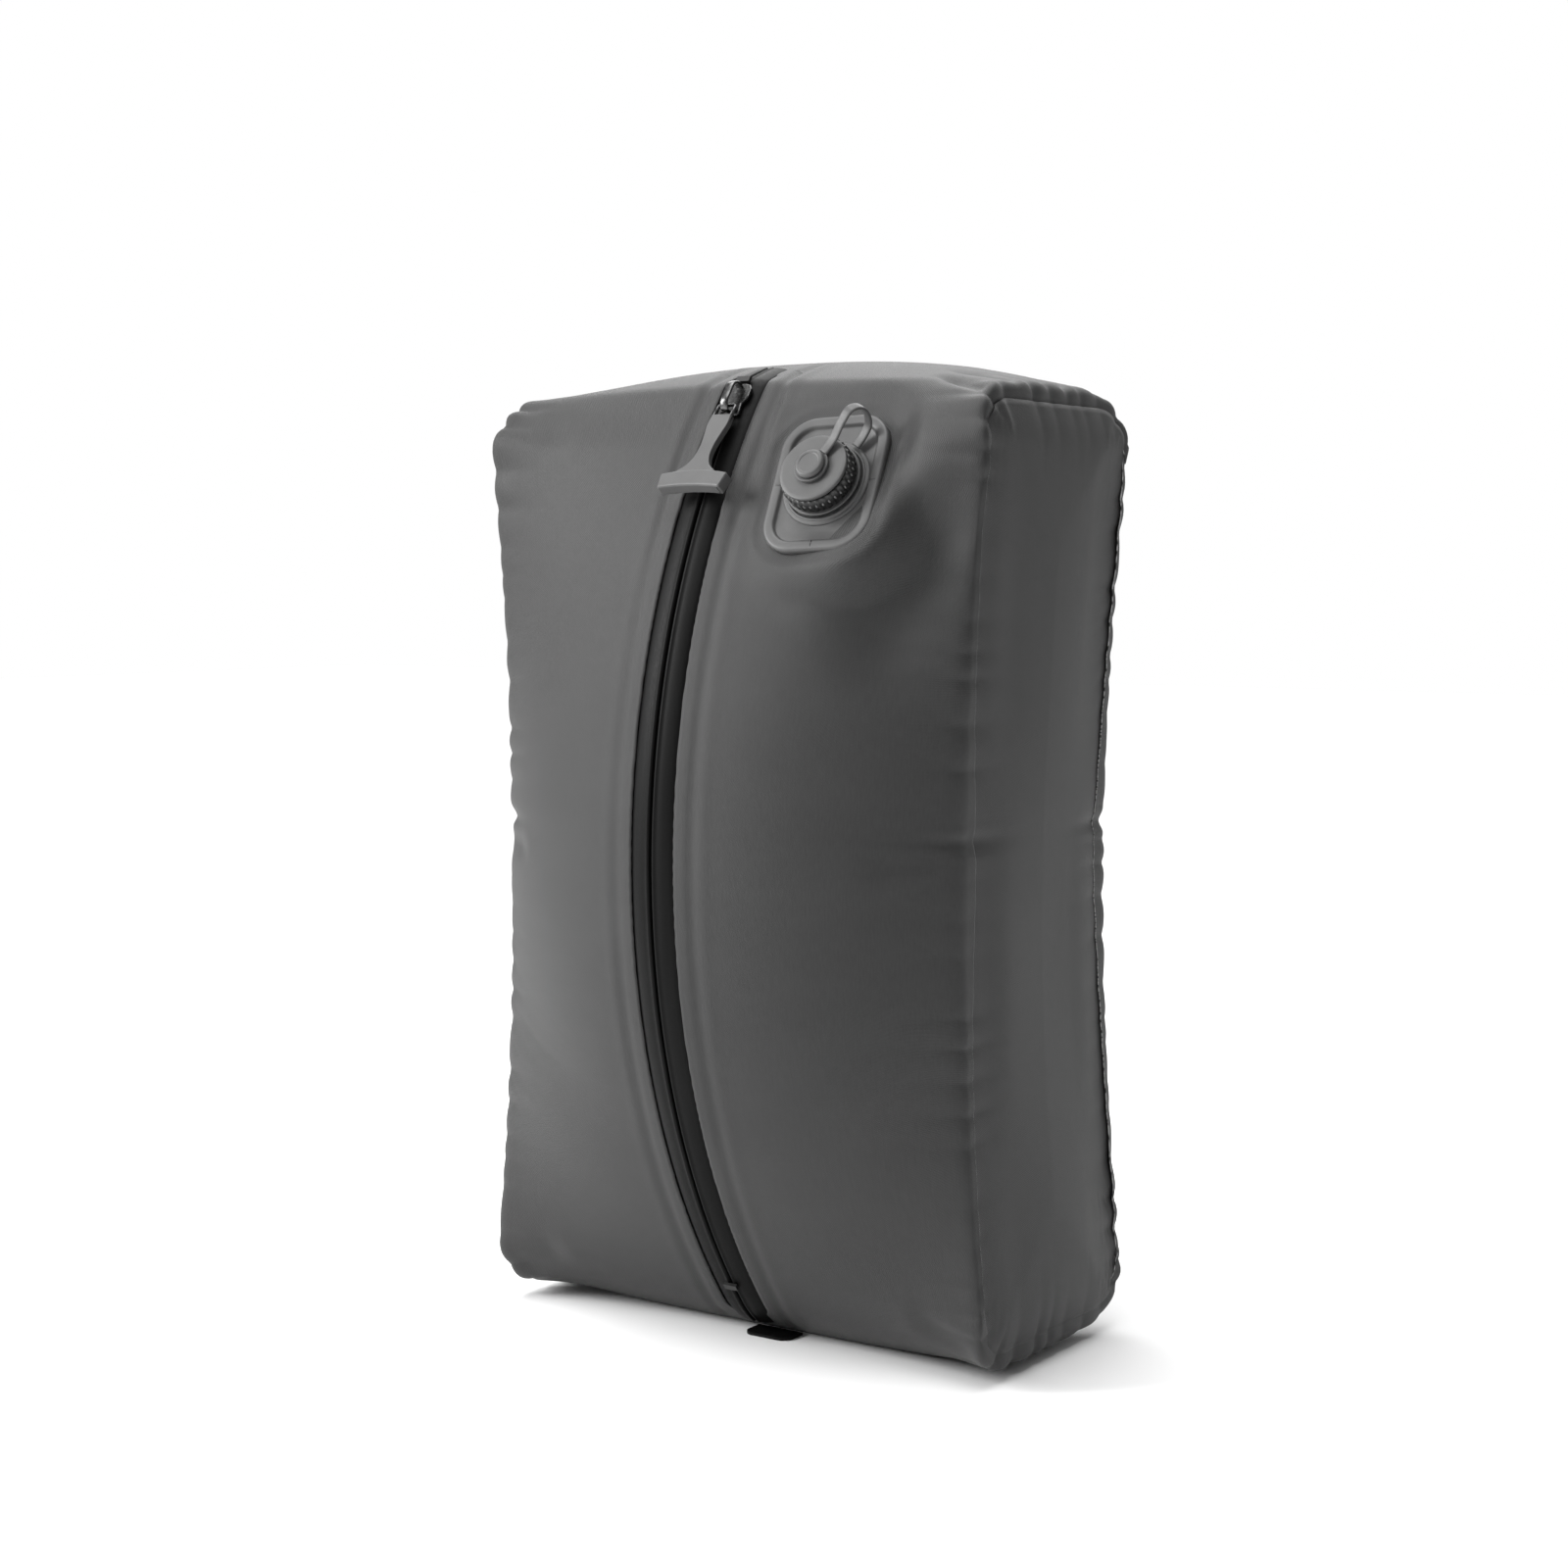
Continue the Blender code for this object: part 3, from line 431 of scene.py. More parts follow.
def belly_turn(start, heading_from_flat, count=24):
    radius = (start[1] + BELLY) / (1 - math.cos(heading_from_flat))
    side = math.copysign(1.0, start[0])
    base = start[0] - side * radius * math.sin(heading_from_flat)
    turns = [heading_from_flat * i / count for i in range(count)]
    return [(base + side * radius * math.sin(a), radius * (1 - math.cos(a)) - BELLY)
            for a in turns]


ARC_LINE = [zip_point(a) for a in np.linspace(ZIP_ARC_BOTTOM, ZIP_ARC_TOP, 181)]
TOP_TURN = turn_points(ARC_LINE[-1], math.pi / 2 - ZIP_ARC_TOP, TOP_SHOULDER, TOP_SLOPE, 16)
ROOF = turn_points(TOP_TURN[-1], TOP_SLOPE, ROOF_RADIUS, 0.0, 36)
BACK_TOP = turn_points(ROOF[-1], 0.0, BACK_TOP_RADIUS, BACK_ARC - math.pi / 2, 24)
BACK_LINE = [(BACK_BULGE - BACK_RADIUS + BACK_RADIUS * math.cos(a),
              ZIP_AXIS_Z + BACK_RADIUS * math.sin(a))
             for a in np.linspace(BACK_ARC, -BACK_ARC, 121)]
FRONT_BELLY = belly_turn(ARC_LINE[0], math.pi / 2 + ZIP_ARC_BOTTOM)
BACK_BELLY = belly_turn(BACK_LINE[-1], math.pi / 2 - BACK_ARC)
CENTRE_LINE = FRONT_BELLY + ARC_LINE + TOP_TURN + ROOF + BACK_TOP + BACK_LINE
CENTRE_LINE += list(reversed(BACK_BELLY))


def seam_line():
    """The side panel's outline, from the back's middle round over the roof."""
    middle = (SEAM_LOW + SEAM_HIGH) / 2
    outline = rounded_rectangle(2 * HALF_DEPTH, SEAM_HIGH - SEAM_LOW, SEAM_CORNER)
    points = []
    for (y0, z0), (y1, z1) in zip(outline, outline[1:] + outline[:1]):
        for share in np.linspace(0.0, 1.0, 40, endpoint=False):
            points.append((y0 + (y1 - y0) * share, z0 + middle + (z1 - z0) * share))
    return points


def polar(points):
    """Bearing and distance of each point from the hub, ready for interpolation."""
    spots = np.array(points)
    bearings = np.arctan2(spots[:, 1] - HUB_Z, spots[:, 0])
    reaches = np.hypot(spots[:, 0], spots[:, 1] - HUB_Z)
    order = np.argsort(bearings)
    bearings, reaches = bearings[order], reaches[order]
    wrapped = np.concatenate((bearings - math.tau, bearings, bearings + math.tau))
    return wrapped, np.tile(reaches, 3)


CENTRE_POLAR = polar(CENTRE_LINE)
SEAM_POLAR = polar(seam_line())


def bearing_of(point):
    return math.atan2(point[1] - HUB_Z, point[0]) % math.tau


def smoothstep(low, high, value):
    t = np.clip((value - low) / (high - low), 0.0, 1.0)
    return t * t * (3 - 2 * t)


def seam_x(z):
    middle = (SEAM_LOW + SEAM_HIGH) / 2
    share = (z - middle) / (SEAM_HIGH - middle)
    drawn_in = (DRAWN_IN_TOP * smoothstep(DRAW_START, DRAW_END, share)
                + DRAWN_IN_BOTTOM * smoothstep(DRAW_START, DRAW_END, -share))
    return HALF_WIDTH_MID + np.where(share > 0, FLARE_TOP, FLARE_BOTTOM) * share ** 2 - drawn_in


def bell(value, centre, width):
    return np.exp(-((value - centre) / width) ** 2)


def valve_place():
    """The valve's frame on the skin, from its joint: X across the flange, Y up it, Z out."""
    joint = JOINTS["cap_turn"]
    out = Vector(joint["axis"]).normalized()
    across = Vector((-out.y, out.x, 0.0)).normalized()
    across.rotate(Matrix.Rotation(VALVE_ROLL, 3, out))
    place = Matrix((across, out.cross(across), out)).transposed().to_4x4()
    place.translation = Vector(joint["pos_m"])
    return place


VALVE_PLACE = valve_place()
VALVE_AXES = np.array(VALVE_PLACE.to_3x3())
VALVE_SPOT = np.array(VALVE_PLACE.translation)


def press_flat(points):
    """Draw the skin flat under the valve's flange, with the weld's soft ring around it."""
    local = (points - VALVE_SPOT) @ VALVE_AXES
    past_x = np.maximum(0.0, np.abs(local[..., 0]) - FLANGE_WIDTH / 2 + FLANGE_CORNER)
    past_y = np.maximum(0.0, np.abs(local[..., 1]) - FLANGE_HEIGHT / 2 + FLANGE_CORNER)
    past = np.hypot(past_x, past_y) - FLANGE_CORNER
    near = (local[..., 2] > -0.04) & (local[..., 2] < 0.03)
    ease = np.where(near, 1.0 - smoothstep(PRESS_MARGIN, PRESS_MARGIN + PRESS_FADE, past), 0.0)
    rest = -0.0004 + 0.0005 * bell(past, 0.0062, 0.0014) - 0.0003 * bell(past, 0.0030, 0.0012)
    local[..., 2] += (rest - local[..., 2]) * ease
    return local @ VALVE_AXES.T + VALVE_SPOT


def skin(x, bearing):
    """Outer skin points for arrays of distances from the middle and bearings."""
    edge = np.interp(bearing, *SEAM_POLAR)
    centre = np.interp(bearing, *CENTRE_POLAR)
    half = seam_x(HUB_Z + edge * np.sin(bearing))
    power = CROWN_POWER + 1.3 * smoothstep(0.72, 0.93, -np.sin(bearing))
    crown = 1 - np.minimum(1.0, np.abs(x) / half) ** power
    reach = edge + crown * (centre - edge)
    z = np.maximum(0.0003, HUB_Z + reach * np.sin(bearing))
    return np.stack((x, reach * np.cos(bearing), z), axis=-1)


PUCKER_PITCH = 0.0150
PUCKER_REACH = 0.013            # how far the gathers run in from the seam
PUCKER_SEED = {1: 1.7, -1: 4.1}  # a phase for each side, so that the two differ
RIDGE_GAIN = 1.35               # all the larger folds are raised by this factor


def seam_walk():
    """The side seam as close points, how far along it each lies, and its direction there."""
    line = np.array(seam_line())
    line = np.concatenate((line, line[:1]))
    lengths = np.concatenate(([0.0], np.cumsum(np.linalg.norm(np.diff(line, axis=0), axis=1))))
    at = np.arange(0.0, lengths[-1], 0.001)
    points = np.stack([np.interp(at, lengths, line[:, k]) for k in (0, 1)], axis=-1)
    ahead = np.roll(points, -1, axis=0) - np.roll(points, 1, axis=0)
    ahead /= np.linalg.norm(ahead, axis=1)[:, None]
    tree = KDTree(len(points))
    for i, (y, z) in enumerate(points):
        tree.insert((y, z, 0.0), i)
    tree.balance()
    return tree, points, at, ahead


SEAM_TREE, SEAM_POINTS, SEAM_AT, SEAM_AHEAD = seam_walk()


def nearest_seam(y, z):
    """How far along the side seam the nearest spot is, and how far away it is."""
    found = np.empty(y.shape, dtype=int)
    away = np.empty(y.shape)
    for index in np.ndindex(y.shape):
        _, found[index], away[index] = SEAM_TREE.find((y[index], z[index], 0.0))
    gap = np.stack((y, z), axis=-1) - SEAM_POINTS[found]
    return SEAM_AT[found] + np.sum(gap * SEAM_AHEAD[found], axis=-1), away


def pucker(along, from_seam, z, seed, reach):
    """Gathers across the seam: rounded humps with narrow folds between them."""
    phase = along / PUCKER_PITCH + 0.26 * np.sin(along / 0.0131 + seed)
    phase = phase + 0.10 * np.sin(along / 0.0057 + 2.3 * seed)
    hump = (np.sin(math.pi * phase) ** 2 + 0.012) ** 0.34 - 0.80
    size = 0.0013 + 0.0013 * bell(z, SEAM_HIGH, 0.060) + 0.0010 * bell(z, SEAM_LOW, 0.070)
    size = size * (0.80 + 0.42 * np.sin(along / 0.021 + 5 * seed))
    gathers = size * hump * np.exp(-(from_seam / reach) ** 1.3)
    notch = -0.0024 * bell(z, 0.213, 0.0035) * np.exp(-(from_seam / (reach * 1.4)) ** 1.3)
    return gathers + notch


def ridge(points, start, end, width, height):
    """A soft fold along a line, tapering at both ends."""
    a, b = np.array(start), np.array(end)
    line = b - a
    share = ((points - a) @ line) / (line @ line)
    away = np.linalg.norm(points - a - share[..., None] * line, axis=-1)
    taper = smoothstep(-0.12, 0.25, share) * (1 - smoothstep(0.70, 1.15, share))
    return RIDGE_GAIN * height * taper * np.exp(-(away / width) ** 2)


def folds(points, side):
    """The larger folds of the filled cloth, which differ from side to side."""
    if side > 0:
        lift = ridge(points, (0.112, -0.060, 0.372), (0.054, -0.082, 0.296), 0.015, 0.0026)
        lift += ridge(points, (0.112, -0.063, 0.352), (0.082, -0.078, 0.270), 0.016, -0.0022)
        lift += ridge(points, (0.117, -0.050, 0.386), (0.088, -0.034, 0.393), 0.0042, -0.0026)
        lift += ridge(points, (0.117, -0.028, 0.389), (0.084, -0.018, 0.397), 0.0042, -0.0017)
        lift += ridge(points, (0.119, 0.012, 0.389), (0.082, 0.015, 0.399), 0.0044, -0.0014)
        lift += ridge(points, (0.119, 0.046, 0.388), (0.084, 0.030, 0.397), 0.0046, -0.0016)
    else:
        lift = ridge(points, (-0.117, -0.050, 0.384), (-0.080, -0.056, 0.372), 0.009, -0.0016)
        lift += ridge(points, (-0.118, -0.010, 0.389), (-0.090, -0.006, 0.397), 0.007, -0.0018)
        lift += ridge(points, (-0.118, 0.036, 0.388), (-0.092, 0.028, 0.396), 0.007, -0.0020)
    lift += ridge(points, (side * 0.114, -0.057, 0.204), (side * 0.084, -0.084, 0.202), 0.005,
                  -0.0011)
    lift += ridge(points, (side * 0.117, -0.050, 0.016), (side * 0.088, -0.056, 0.026), 0.008,
                  -0.0014)
    return lift


def zip_welds(points, x):
    """The cloth over the zip's tape: a faint raised band with a groove along each side."""
    top = 1.0 + 1.6 * smoothstep(0.30, 0.37, points[..., 2])
    away = np.abs(x)
    front = smoothstep(0.0, -0.02, points[..., 1])
    band = 0.00030 * (1 - smoothstep(0.0150, 0.0172, away))
    groove = -0.00042 * top * bell(away, 0.0186, 0.0024)
    lip = 0.00022 * top * bell(away, 0.0232, 0.0030)
    return front * (band + groove + lip)


def outward(points):
    """Unit normals of a grid of points, away from the bag's middle."""
    down = np.gradient(points, axis=0)
    across = np.gradient(points, axis=1)
    normal = np.cross(down, across)
    normal /= np.maximum(np.linalg.norm(normal, axis=-1, keepdims=True), 1e-12)
    away = points - np.array((0.0, 0.0, HUB_Z))
    sign = np.sign(np.sum(normal * away, axis=-1))
    middle = np.median(sign)
    return normal * (middle if middle else 1.0)


LAP_SHARES = np.array([0.0, 0.10, 0.22, 0.36, 0.50, 0.64, 0.78, 0.90, 0.97, 1.0])
CORNER_ROUND = 0.0052


def half_grid(bearings, inner, side, drop):
    """One half of a panel: rows by bearing, columns from the middle out and onto the lap."""
    edge = np.interp(bearings, *SEAM_POLAR)
    half = seam_x(HUB_Z + edge * np.sin(bearings))
    shares = np.linspace(0.0, 1.0, 72)
    x = inner[:, None] + (half - inner)[:, None] * shares[None, :]
    grid = skin(x * side, np.broadcast_to(bearings[:, None], x.shape))
    lap_in = LAP * LAP_SHARES[1:]
    reach = edge[:, None] - lap_in[None, :]
    lap = np.stack((np.broadcast_to(side * half[:, None], reach.shape),
                    reach * np.cos(bearings)[:, None],
                    HUB_Z + reach * np.sin(bearings)[:, None]), axis=-1)
    points = np.concatenate((grid, lap), axis=1)
    on_lap = lap_in[None, :] + 0 * reach
    from_seam = np.concatenate((np.maximum(half[:, None] - x, 0.0), on_lap), axis=1)
    past = np.concatenate((x - half[:, None], on_lap), axis=1)
    points = round_corner(points, past)
    if side > 0:
        points = press_flat(points)
    normal = outward(points)
    along, _ = nearest_seam(points[..., 1], points[..., 2])
    flat_x = np.concatenate((x, np.full_like(reach, 0.12)), axis=1)
    lift = pucker(along, from_seam, points[..., 2], PUCKER_SEED[side], PUCKER_REACH)
    lift = lift + folds(points, side) + zip_welds(points, flat_x) - drop[:, None]
    floor_ease = smoothstep(0.0, 0.006, points[..., 2])
    points = points + normal * (lift * floor_ease)[..., None]
    points[..., 2] = np.maximum(points[..., 2], 0.0002)
    return points, past


def round_corner(points, past):
    """Replace the crease along the seam by a round edge."""
    near = np.abs(past) < CORNER_ROUND
    result = points.copy()
    for i in range(points.shape[0]):
        ramp = past[i]
        ends = [np.array([np.interp(s, ramp, points[i, :, k]) for k in range(3)])
                for s in (-CORNER_ROUND, 0.0, CORNER_ROUND)]
        t = ((ramp[near[i]] + CORNER_ROUND) / (2 * CORNER_ROUND))[:, None]
        result[i, near[i]] = ((1 - t) ** 2 * ends[0] + 2 * t * (1 - t) * ends[1]
                              + t * t * ends[2])
    return result


def cloth_mesh(name, halves, bearings, welded):
    """Both halves of a panel as one mesh, with the cloth's own coordinates on it."""
    bm = bmesh.new()
    cloth = bm.verts.layers.float_vector.new("cloth")
    cut = bm.verts.layers.float.new("cut_edge")
    down = np.concatenate(([0.0], np.cumsum(np.abs(np.diff(bearings))))) * 0.2
    for side, (points, past) in halves:
        loops = []
        for i in range(points.shape[0]):
            row = []
            for j in range(points.shape[1]):
                vert = bm.verts.new(points[i, j])
                vert[cloth] = (side * (past[i, j] + 0.12), down[i], 0.0)
                vert[cut] = 1.0 if j == points.shape[1] - 1 else 0.0
                row.append(vert)
            loops.append(row)
        for here, there in zip(loops, loops[1:]):
            for j in range(len(here) - 1):
                quad = (here[j], here[j + 1], there[j + 1], there[j])
                bm.faces.new(quad if side > 0 else tuple(reversed(quad)))
    if welded:
        middle = [v for v in bm.verts if abs(v.co.x) < 1e-7]
        bmesh.ops.remove_doubles(bm, verts=middle, dist=0.00001)
    mesh = mesh_from(bm, name)
    first = mesh.polygons[len(mesh.polygons) // 3]
    if first.normal.dot(first.center - Vector((0.0, 0.0, HUB_Z))) < 0:
        mesh.flip_normals()
    return mesh


def thicken(item, thickness):
    wall = item.modifiers.new("wall", "SOLIDIFY")
    wall.thickness = thickness
    wall.offset = -1.0
    return item


ROOF_BACK = bearing_of((HALF_DEPTH, SEAM_HIGH))
FLOOR_BACK = bearing_of((HALF_DEPTH, SEAM_LOW))
ZIP_TOP_END = bearing_of(ROOF[8])
ZIP_LOW_END = bearing_of(FRONT_BELLY[16])
SLIT_TAPER = 0.045              # radians over which the zip's slit draws to a point
BACK_LAP = 0.030                # radians by which the wrap laps over the back


def slot_edge(bearings):
    """Half width of the zip's opening: drawn to a point at both ends."""
    from_top = np.clip((bearings - ZIP_TOP_END) / SLIT_TAPER, 0.0, 1.0)
    from_low = np.clip((ZIP_LOW_END - bearings) / SLIT_TAPER, 0.0, 1.0)
    share = np.minimum(np.sqrt(from_top), np.sqrt(from_low))
    teeth = 0.00012 * np.sin(bearings * 900.0)
    return np.where(share > 0, SLOT_HALF * share + teeth * (share > 0.9), 0.0)


def even_bearings(first, last, spacing, sharp=()):
    """Rows about evenly spaced along the middle line and the seam, plus given ones."""
    fine = np.linspace(first, last, 6000)
    centre = np.interp(fine, *CENTRE_POLAR)
    edge = np.interp(fine, *SEAM_POLAR)
    y1, z1 = centre * np.cos(fine), centre * np.sin(fine)
    y2, z2 = edge * np.cos(fine), edge * np.sin(fine)
    step = np.maximum(np.hypot(np.diff(y1), np.diff(z1)), np.hypot(np.diff(y2), np.diff(z2)))
    length = np.concatenate(([0.0], np.cumsum(step)))
    count = int(length[-1] / spacing)
    rows = np.interp(np.linspace(0.0, length[-1], count), length, fine)
    return np.array(sorted(set(rows) | set(sharp)))


def make_wrap():
    bearings = even_bearings(ROOF_BACK - BACK_LAP, FLOOR_BACK + BACK_LAP, 0.0017,
                             (ZIP_TOP_END, ZIP_LOW_END))
    inner = slot_edge(bearings)
    drop = np.zeros_like(bearings)
    halves = [(side, half_grid(bearings, inner, side, drop)) for side in (1, -1)]
    mesh = cloth_mesh("bag_wrap", halves, bearings, True)
    item = piece("bag_wrap", mesh, CLOTH, "root", ("front_wrap",))
    cut_valve_hole(item)
    thicken(item, FABRIC)


def cut_valve_hole(item):
    """Take away the cloth behind the valve's flange."""
    bm = bmesh.new()
    bm.from_mesh(item.data)
    local = VALVE_PLACE.inverted()
    gone = [v for v in bm.verts if in_hole(local @ v.co)]
    bmesh.ops.delete(bm, geom=gone, context="VERTS")
    bm.to_mesh(item.data)
    bm.free()


def in_hole(point):
    return math.hypot(point.x, point.y) < HOLE_RADIUS and abs(point.z) < HOLE_REACH


def make_back():
    first, last = FLOOR_BACK - math.tau - 0.004, ROOF_BACK + 0.004
    bearings = even_bearings(first, last, 0.0022)
    inner = np.zeros_like(bearings)
    inside = np.minimum(bearings - first, last - bearings)
    drop = 0.0012 * (1 - smoothstep(BACK_LAP, BACK_LAP + 0.06, inside))
    halves = [(side, half_grid(bearings, inner, side, drop)) for side in (1, -1)]
    mesh = cloth_mesh("bag_back", halves, bearings, True)
    item = piece("bag_back", mesh, CLOTH, "root", ("back_panel",))
    thicken(item, FABRIC)


def make_side(side, name, node):
    """A side panel: it comes from under the lap and swells a little between the seams."""
    bearings = even_bearings(0.0, math.tau, 0.0018)[:-1]
    edge = np.interp(bearings, *SEAM_POLAR)
    tuck = 0.0075
    shares = 1.0 - np.linspace(0.0, 1.0, 34)[:-1] ** 1.25
    reach = (edge[:, None] - tuck) * shares[None, :]
    z = HUB_Z + reach * np.sin(bearings)[:, None]
    y = reach * np.cos(bearings)[:, None]
    along, from_seam = nearest_seam(y, z)
    swell = 0.0040 * (1 - np.exp(-(np.maximum(from_seam - tuck, 0.0) / 0.024) ** 1.2))
    lift = pucker(along, from_seam, z, PUCKER_SEED[side], PUCKER_REACH)
    lift += 0.0011 * np.sin(y / 0.019 + 0.8) * np.sin(z / 0.047 + 1.3) * smoothstep(
        0.015, 0.035, from_seam)
    x = side * (seam_x(z) - FABRIC - 0.0002 + swell + lift)
    bm = bmesh.new()
    cloth = bm.verts.layers.float_vector.new("cloth")
    bm.verts.layers.float.new("cut_edge")
    loops = []
    for j in range(reach.shape[1]):
        ring = []
        for i in range(len(bearings)):
            vert = bm.verts.new((x[i, j], y[i, j], z[i, j]))
            vert[cloth] = (y[i, j], z[i, j], 0.0)
            ring.append(vert)
        loops.append(ring)
    count = len(bearings)
    for here, there in zip(loops, loops[1:]):
        for i in range(count):
            j = (i + 1) % count
            bm.faces.new((here[i], here[j], there[j], there[i]))
    hub = bm.verts.new((float(np.mean(x[:, -1])), 0.0, HUB_Z))
    hub[cloth] = (0.0, HUB_Z, 0.0)
    for i in range(count):
        bm.faces.new((loops[-1][i], loops[-1][(i + 1) % count], hub))
    mesh = mesh_from(bm, name)
    if mesh.polygons[0].normal.x * side < 0:
        mesh.flip_normals()
    item = piece(name, mesh, CLOTH, "root", (node,))
    thicken(item, FABRIC)


# ---- the zip --------------------------------------------------------------------------------

def zip_stations(line):
    points = np.array(line)
    along = np.gradient(points, axis=0)
    along /= np.linalg.norm(along, axis=1)[:, None]
    return [(p[0], p[1], -a[1], a[0]) for p, a in zip(points, along)]


TAPE_SECTION = ((0.0005, 0.0001), (0.0006, 0.0010), (0.0009, 0.0015), (0.0014, 0.0017),
                (0.0020, 0.0016), (0.0024, 0.0013), (0.0036, 0.0014), (0.0060, 0.0010),
                (0.0082, 0.0005), (0.0098, -0.0002), (0.0104, -0.0010), (0.0112, -0.0020),
                (0.0160, -0.0029), (0.0160, -0.0039), (0.0090, -0.0030), (0.0050, -0.0001))


def make_tapes():
    line = FRONT_BELLY[16:] + ARC_LINE + TOP_TURN + ROOF[:11]
    stations = zip_stations(line[::2])
    for side, word in ((1, "right"), (-1, "left")):
        bm = bmesh.new()
        rings = []
        for y, z, out_y, out_z in stations:
            rings.append([(side * x, y + out * out_y, z + out * out_z)
                          for x, out in TAPE_SECTION])
        add_rings(bm, rings)
        bmesh.ops.recalc_face_normals(bm, faces=bm.faces)
        name = f"zip_film_{word}"
        item = piece(name, mesh_from(bm, name), TAPE, "root", (f"zip_tape_{word}",))
        item.data.set_sharp_from_angle(angle=math.radians(50.0))


def zip_place(angle):
    """A frame on the arc: X across the zip, Y along it upwards, Z outwards."""
    y, z = zip_point(angle)
    axes = Matrix(((1.0, 0.0, 0.0), (0.0, math.sin(angle), math.cos(angle)),
                   (0.0, -math.cos(angle), math.sin(angle)))).transposed().to_4x4()
    axes.translation = Vector((0.0, y, z))
    return axes


def make_slider():
    place = zip_place(SLIDER_ANGLE)
    half = SLIDER_HALF
    plate = [(0.0040, -half), (0.0052, -half + 0.0012), (0.0047, -0.002), (0.0066, 0.0015),
             (0.0066, half - 0.0025), (0.0052, half - 0.0006), (0.0030, half)]
    outline = plate + [(-x, y) for x, y in reversed(plate)]
    bm = bmesh.new()
    add_prism(bm, outline, 0.0019, 0.0034)
    under = [(x * 0.85, y) for x, y in outline]
    add_prism(bm, under, -0.0042, -0.0028)
    web = [(-0.0006, 0.0005), (0.0006, 0.0005), (0.0006, 0.0070), (-0.0006, 0.0070)]
    add_prism(bm, web, -0.0036, 0.0026)
    item = piece("slider_body", mesh_from(bm, "slider_body"), METAL, "slider",
                 ("zip_slider",), place)
    soften(item, 0.00045)
    make_bridge(place)


def make_bridge(place):
    """The raised strap over the slider, with a rounded section."""
    line = [(-0.0066, 0.0034), (-0.0068, 0.0062), (-0.0052, 0.0078), (0.0, 0.0084),
            (0.0048, 0.0080), (0.0066, 0.0062), (0.0068, 0.0034)]
    centre = smooth_curve(line, 41)
    bm = bmesh.new()
    rings = []
    for i, (along, out) in enumerate(centre):
        run = centre[min(len(centre) - 1, i + 1)] - centre[max(0, i - 1)]
        run = run / np.linalg.norm(run)
        ring = []
        for turn in np.linspace(0.0, math.tau, 16, endpoint=False):
            wide = 0.0018 * np.sign(math.cos(turn)) * abs(math.cos(turn)) ** 0.6
            thick = 0.00065 * np.sign(math.sin(turn)) * abs(math.sin(turn)) ** 0.6
            ring.append((wide, along - run[1] * thick, out + run[0] * thick))
        rings.append(ring)
    add_rings(bm, rings)
    bmesh.ops.recalc_face_normals(bm, faces=bm.faces)
    piece("bridge_strap", mesh_from(bm, "bridge_strap"), METAL, "slider",
          ("slider_bridge",), place)


def pull_place():
    """The pull's frame at its pivot: X across, Y down the handle, Z out."""
    lean = math.radians(38.4)
    down = Vector((0.0, -math.sin(lean), -math.cos(lean)))
    out = Vector((0.0, -math.cos(lean), math.sin(lean)))
    place = Matrix((down.cross(out), down, out)).transposed().to_4x4()
    place.translation = Vector(JOINTS["pull_swing"]["pos_m"])
    return place


def make_link(place):
    """A U of rounded wire between the bridge and the handle."""
    half, leg_end = 0.0042, 0.0085
    corner = 0.0012
    path = [(-half, leg_end)]
    for i in range(7):
        a = math.pi + (math.pi / 2) * i / 6
        path.append((-half + corner + corner * math.cos(a), corner + corner * math.sin(a)))
    for i in range(7):
        a = 1.5 * math.pi + (math.pi / 2) * i / 6
        path.append((half - corner + corner * math.cos(a), corner + corner * math.sin(a)))
    path.append((half, leg_end))
    points = np.array(path)
    bm = bmesh.new()
    rings = []
    for i, spot in enumerate(points):
        run = points[min(len(points) - 1, i + 1)] - points[max(0, i - 1)]
        run = run / np.linalg.norm(run)
        ring = []
        for turn in np.linspace(0.0, math.tau, 14, endpoint=False):
            side = 0.00075 * math.cos(turn)
            ring.append((spot[0] - run[1] * side, spot[1] + run[0] * side,
                         0.00075 * math.sin(turn)))
        rings.append(ring)
    add_rings(bm, rings)
    bmesh.ops.recalc_face_normals(bm, faces=bm.faces)
    piece("pull_wire", mesh_from(bm, "pull_wire"), METAL, "pull", ("pull_link",),
          place)


HANDLE_TOP = 0.0052
BAR_TOP = 0.0340
BAR_LOW = 0.0420
BAR_HALF = 0.0163


def make_handle(place):
    """The T-shaped grip: a waisted stem that flares into a curved crossbar."""
    stem_line = [(0.0046, HANDLE_TOP), (0.0049, 0.0105), (0.0040, 0.0160), (0.0033, 0.0220),
                 (0.0037, 0.0270), (0.0055, 0.0312), (0.0098, 0.0348)]
    right = [tuple(p) for p in smooth_curve(stem_line, 30)]
    stem = right + [(-x, y) for x, y in reversed(right)]
    top = []
    low = []
    for share in np.linspace(-1.0, 1.0, 33):
        drop = 0.0018 * share * share
        top.append((share * BAR_HALF, BAR_TOP + drop))
        low.append((share * (BAR_HALF - 0.0012), BAR_LOW + drop * 0.6))
    bar = top + list(reversed(low))
    for name, outline, under, over, width in (
            ("handle_stem", stem, -0.0018, 0.0010, 0.0008),
            ("handle_bar", bar, -0.0042, 0.0012, 0.0013)):
        bm = bmesh.new()
        add_prism(bm, outline, under, over)
        bmesh.ops.recalc_face_normals(bm, faces=bm.faces)
        replaced = ("pull_handle",) if name == "handle_bar" else ()
        item = piece(name, mesh_from(bm, name), GRIP, "pull", replaced, place)
        soften(item, width, 4, 40.0)


# ---- the air valve --------------------------------------------------------------------------

